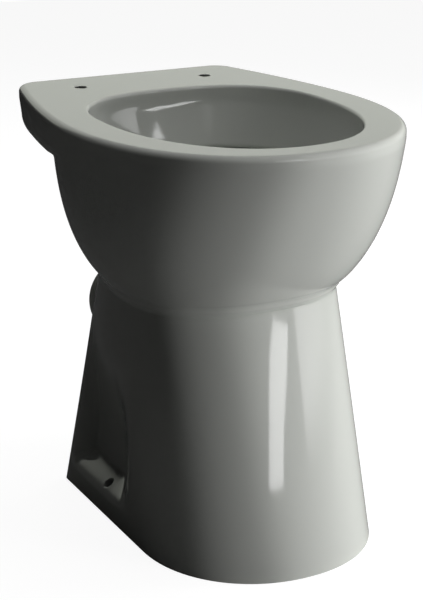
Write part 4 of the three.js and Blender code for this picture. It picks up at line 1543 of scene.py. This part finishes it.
@dataclass(frozen=True)
class Card:
    """A glowing sheet far away, which is mirrored in the glaze and lights nothing.

    Attributes:
        name: name of the card.
        corners: azimuth and elevation in degrees of the lower left, lower right, upper right and upper left.
        glow: brightness, where 1 is white.
        fades: shares over which it fades out at the left, right, bottom and top.
        tint: colour of the glow.
        distance: metres from the pan's middle.
        cells: cells of its mesh along each side.
    """

    name: str
    corners: tuple[tuple[float, float], ...]
    glow: float
    fades: tuple[float, float, float, float] = (0.0, 0.0, 0.0, 0.0)
    tint: tuple[float, float, float] = (1.0, 1.0, 1.0)
    distance: float = 14.0
    cells: int = 16

    def build(self, target: Vector) -> None:
        """Make the card round the target."""
        count = self.cells + 1
        steps = spread(0.0, 1.0, count)
        shares = [(across, up, 0.0) for up in steps for across in steps]
        points = np.array([target + self._direction(across, up) * self.distance for across, up, _ in shares])
        starts = [row * count + column for row in range(self.cells) for column in range(self.cells)]
        faces = [[start, start + 1, start + count + 1, start + count] for start in starts]
        card = Solid(points, faces).piece(self.name)
        attribute = card.data.attributes.new(SHARE, "FLOAT_VECTOR", "POINT")
        attribute.data.foreach_set("vector", np.array(shares, dtype=np.float32).ravel())
        card.data.materials.append(self._material())
        card.visible_camera = False
        card.visible_diffuse = False
        card.visible_transmission = False
        card.visible_shadow = False

    def _direction(self, across: float, up: float) -> Vector:
        """Return the direction of the place at a share of the card's width and of its height."""
        lower, lower_end, upper_end, upper = (np.array(corner) for corner in self.corners)
        return away(*lerp(lerp(lower, lower_end, across), lerp(upper, upper_end, across), up))

    def _material(self) -> bpy.types.Material:
        """Return the card's glow, which fades out at its edges."""
        material, nodes, shader = new_material(self.name)
        tree = material.node_tree
        place = nodes.add("ShaderNodeAttribute", {"attribute_name": SHARE}).outputs["Vector"]
        split = nodes.add("ShaderNodeSeparateXYZ", None, Vector=place)
        strength: object = self.glow
        for number, fade in enumerate(self.fades):
            if fade:
                share = split.outputs[number // 2]
                share = nodes.math("SUBTRACT", 1.0, share) if number % 2 else share
                ramp = nodes.add("ShaderNodeMapRange", {"interpolation_type": "SMOOTHSTEP"}, Value=share)
                nodes.feed(ramp, "From Max", fade)
                strength = nodes.math("MULTIPLY", ramp.outputs["Result"], strength)
        glow = nodes.add("ShaderNodeEmission", None, Color=(*self.tint, 1), Strength=strength)
        tree.links.new(glow.outputs["Emission"], tree.nodes["Material Output"].inputs["Surface"])
        tree.nodes.remove(shader)
        return material


PALE_GREEN = (0.96, 1.0, 0.88)
SOFTBOXES = (
    Softbox("key", 68, 1.5, 0.5, 50.0),
    Softbox("front_key", 31, 1.5, 0.5, 20.0),
    Softbox("overhead", 58, 60, 1.3, 2.2),
    Softbox("top", 0, 88, 1.1, 2.2),
    Softbox("side", 120, 25, 0.9, 4.5),
    Softbox("rear", 158, 48, 1.1, 1.8),
)
CARDS = (
    Card("strip", ((5.5, 8), (19, 7.6), (36, 11.5), (28.5, 13.2)), 7.3, (0.12, 0.0, 0.0, 0.0)),
    Card("window", ((36, 5), (90, -6), (90, 12), (42, 13)), 3.0, (0.06, 0.95, 0.35, 0.1)),
    Card("high_strip", ((-4, 15), (17, 15), (17, 32), (-4, 32)), 5.0, (0.0, 0.0, 0.4, 0.4)),
    Card("backdrop", ((100, 2), (205, 2), (205, 36), (100, 36)), 0.6, (0.1, 0.1, 0.1, 0.1), PALE_GREEN),
)


@dataclass
class Studio:
    """Pale floor, lamps and camera."""

    camera_place: tuple[float, float, float] = (-0.7957, -1.5140, 0.8111)
    camera_forward: tuple[float, float, float] = (0.44038, 0.84048, -0.31568)
    focal_pixels: float = 1610.5
    frame_height_pixels: int = 600
    sensor: float = 36.0
    target_height: float = 0.23
    floor_size: float = 4.0
    floor_tone: float = 0.2
    floor_mirrored: float = 0.06
    floor_glow: float = 0.93
    room_tone: float = 0.006

    def build(self) -> None:
        """Make the whole studio."""
        self._camera()
        self._world()
        self._floor()
        for source in (*SOFTBOXES, *CARDS):
            source.build(Vector((0, 0, self.target_height)))
        bpy.context.scene.view_settings.view_transform = "Standard"

    def _camera(self) -> None:
        """Place the camera where the photograph was taken."""
        data = bpy.data.cameras.new("camera")
        data.sensor_fit = "VERTICAL"
        data.sensor_height = self.sensor
        data.lens = self.focal_pixels * self.sensor / self.frame_height_pixels
        camera = bpy.data.objects.new("camera", data)
        camera.location = self.camera_place
        camera.rotation_euler = Vector(self.camera_forward).to_track_quat("-Z", "Y").to_euler()
        bpy.context.scene.collection.objects.link(camera)
        bpy.context.scene.camera = camera

    def _world(self) -> None:
        """Make a dim room that the camera sees as white."""
        world = bpy.data.worlds.new("studio")
        world.use_nodes = True
        bpy.context.scene.world = world
        nodes = NodeTree(world.node_tree)
        background = world.node_tree.nodes["Background"]
        seen = nodes.add("ShaderNodeLightPath").outputs["Is Camera Ray"]
        room = (self.room_tone, self.room_tone, self.room_tone, 1)
        nodes.feed(background, "Color", nodes.mix(seen, room, (1, 1, 1, 1)))

    def _floor(self) -> None:
        """Lay the pale floor, which the camera sees as near white with the pan's shadow on it."""
        size = self.floor_size
        corners = np.array([[-size, -size, 0], [size, -size, 0], [size, size, 0], [-size, size, 0]])
        floor = Solid(corners, [[0, 1, 2, 3]]).piece("floor")
        material, nodes, shader = new_material("pale_floor")
        path = nodes.add("ShaderNodeLightPath").outputs
        tones = [(tone, tone, tone, 1) for tone in (self.floor_tone, self.floor_mirrored)]
        nodes.feed(shader, "Base Color", nodes.mix(path["Is Glossy Ray"], *tones))
        shader.inputs["Roughness"].default_value = 1.0
        shader.inputs["Specular IOR Level"].default_value = 0.0
        shader.inputs["Emission Color"].default_value = (1, 1, 1, 1)
        glow = nodes.math("MULTIPLY", path["Is Camera Ray"], self.floor_glow)
        nodes.feed(shader, "Emission Strength", glow)
        floor.data.materials.append(material)


def main() -> None:
    """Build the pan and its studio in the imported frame."""
    logging.basicConfig(level=logging.INFO, format="%(name)s: %(message)s")
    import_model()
    form = PanForm(Frame.read())
    finishes = Finishes.build()
    Studio().build()
    china, waterway = Slot.CHINA, Slot.WATERWAY
    parts = (
        PanBody(form, "glazed_pan", ("pedestal", "outer_bowl", "rim_and_deck"), china),
        Basin(form, "glazed_basin", ("basin",), china),
        Waterway(form, "glazed_waterway", ("trapway", "weir_bend", "outlet_spigot"), waterway),
        TrapBridge(form, "glazed_trap_bridge", ("trap_bridge",), china),
        FixingBoss(form, "glazed_boss_left", ("fixing_boss_left",), china, side=-1),
        FixingBoss(form, "glazed_boss_right", ("fixing_boss_right",), china, side=1),
    )
    for part in parts:
        part.make(finishes)


if __name__ == "__main__":
    main()
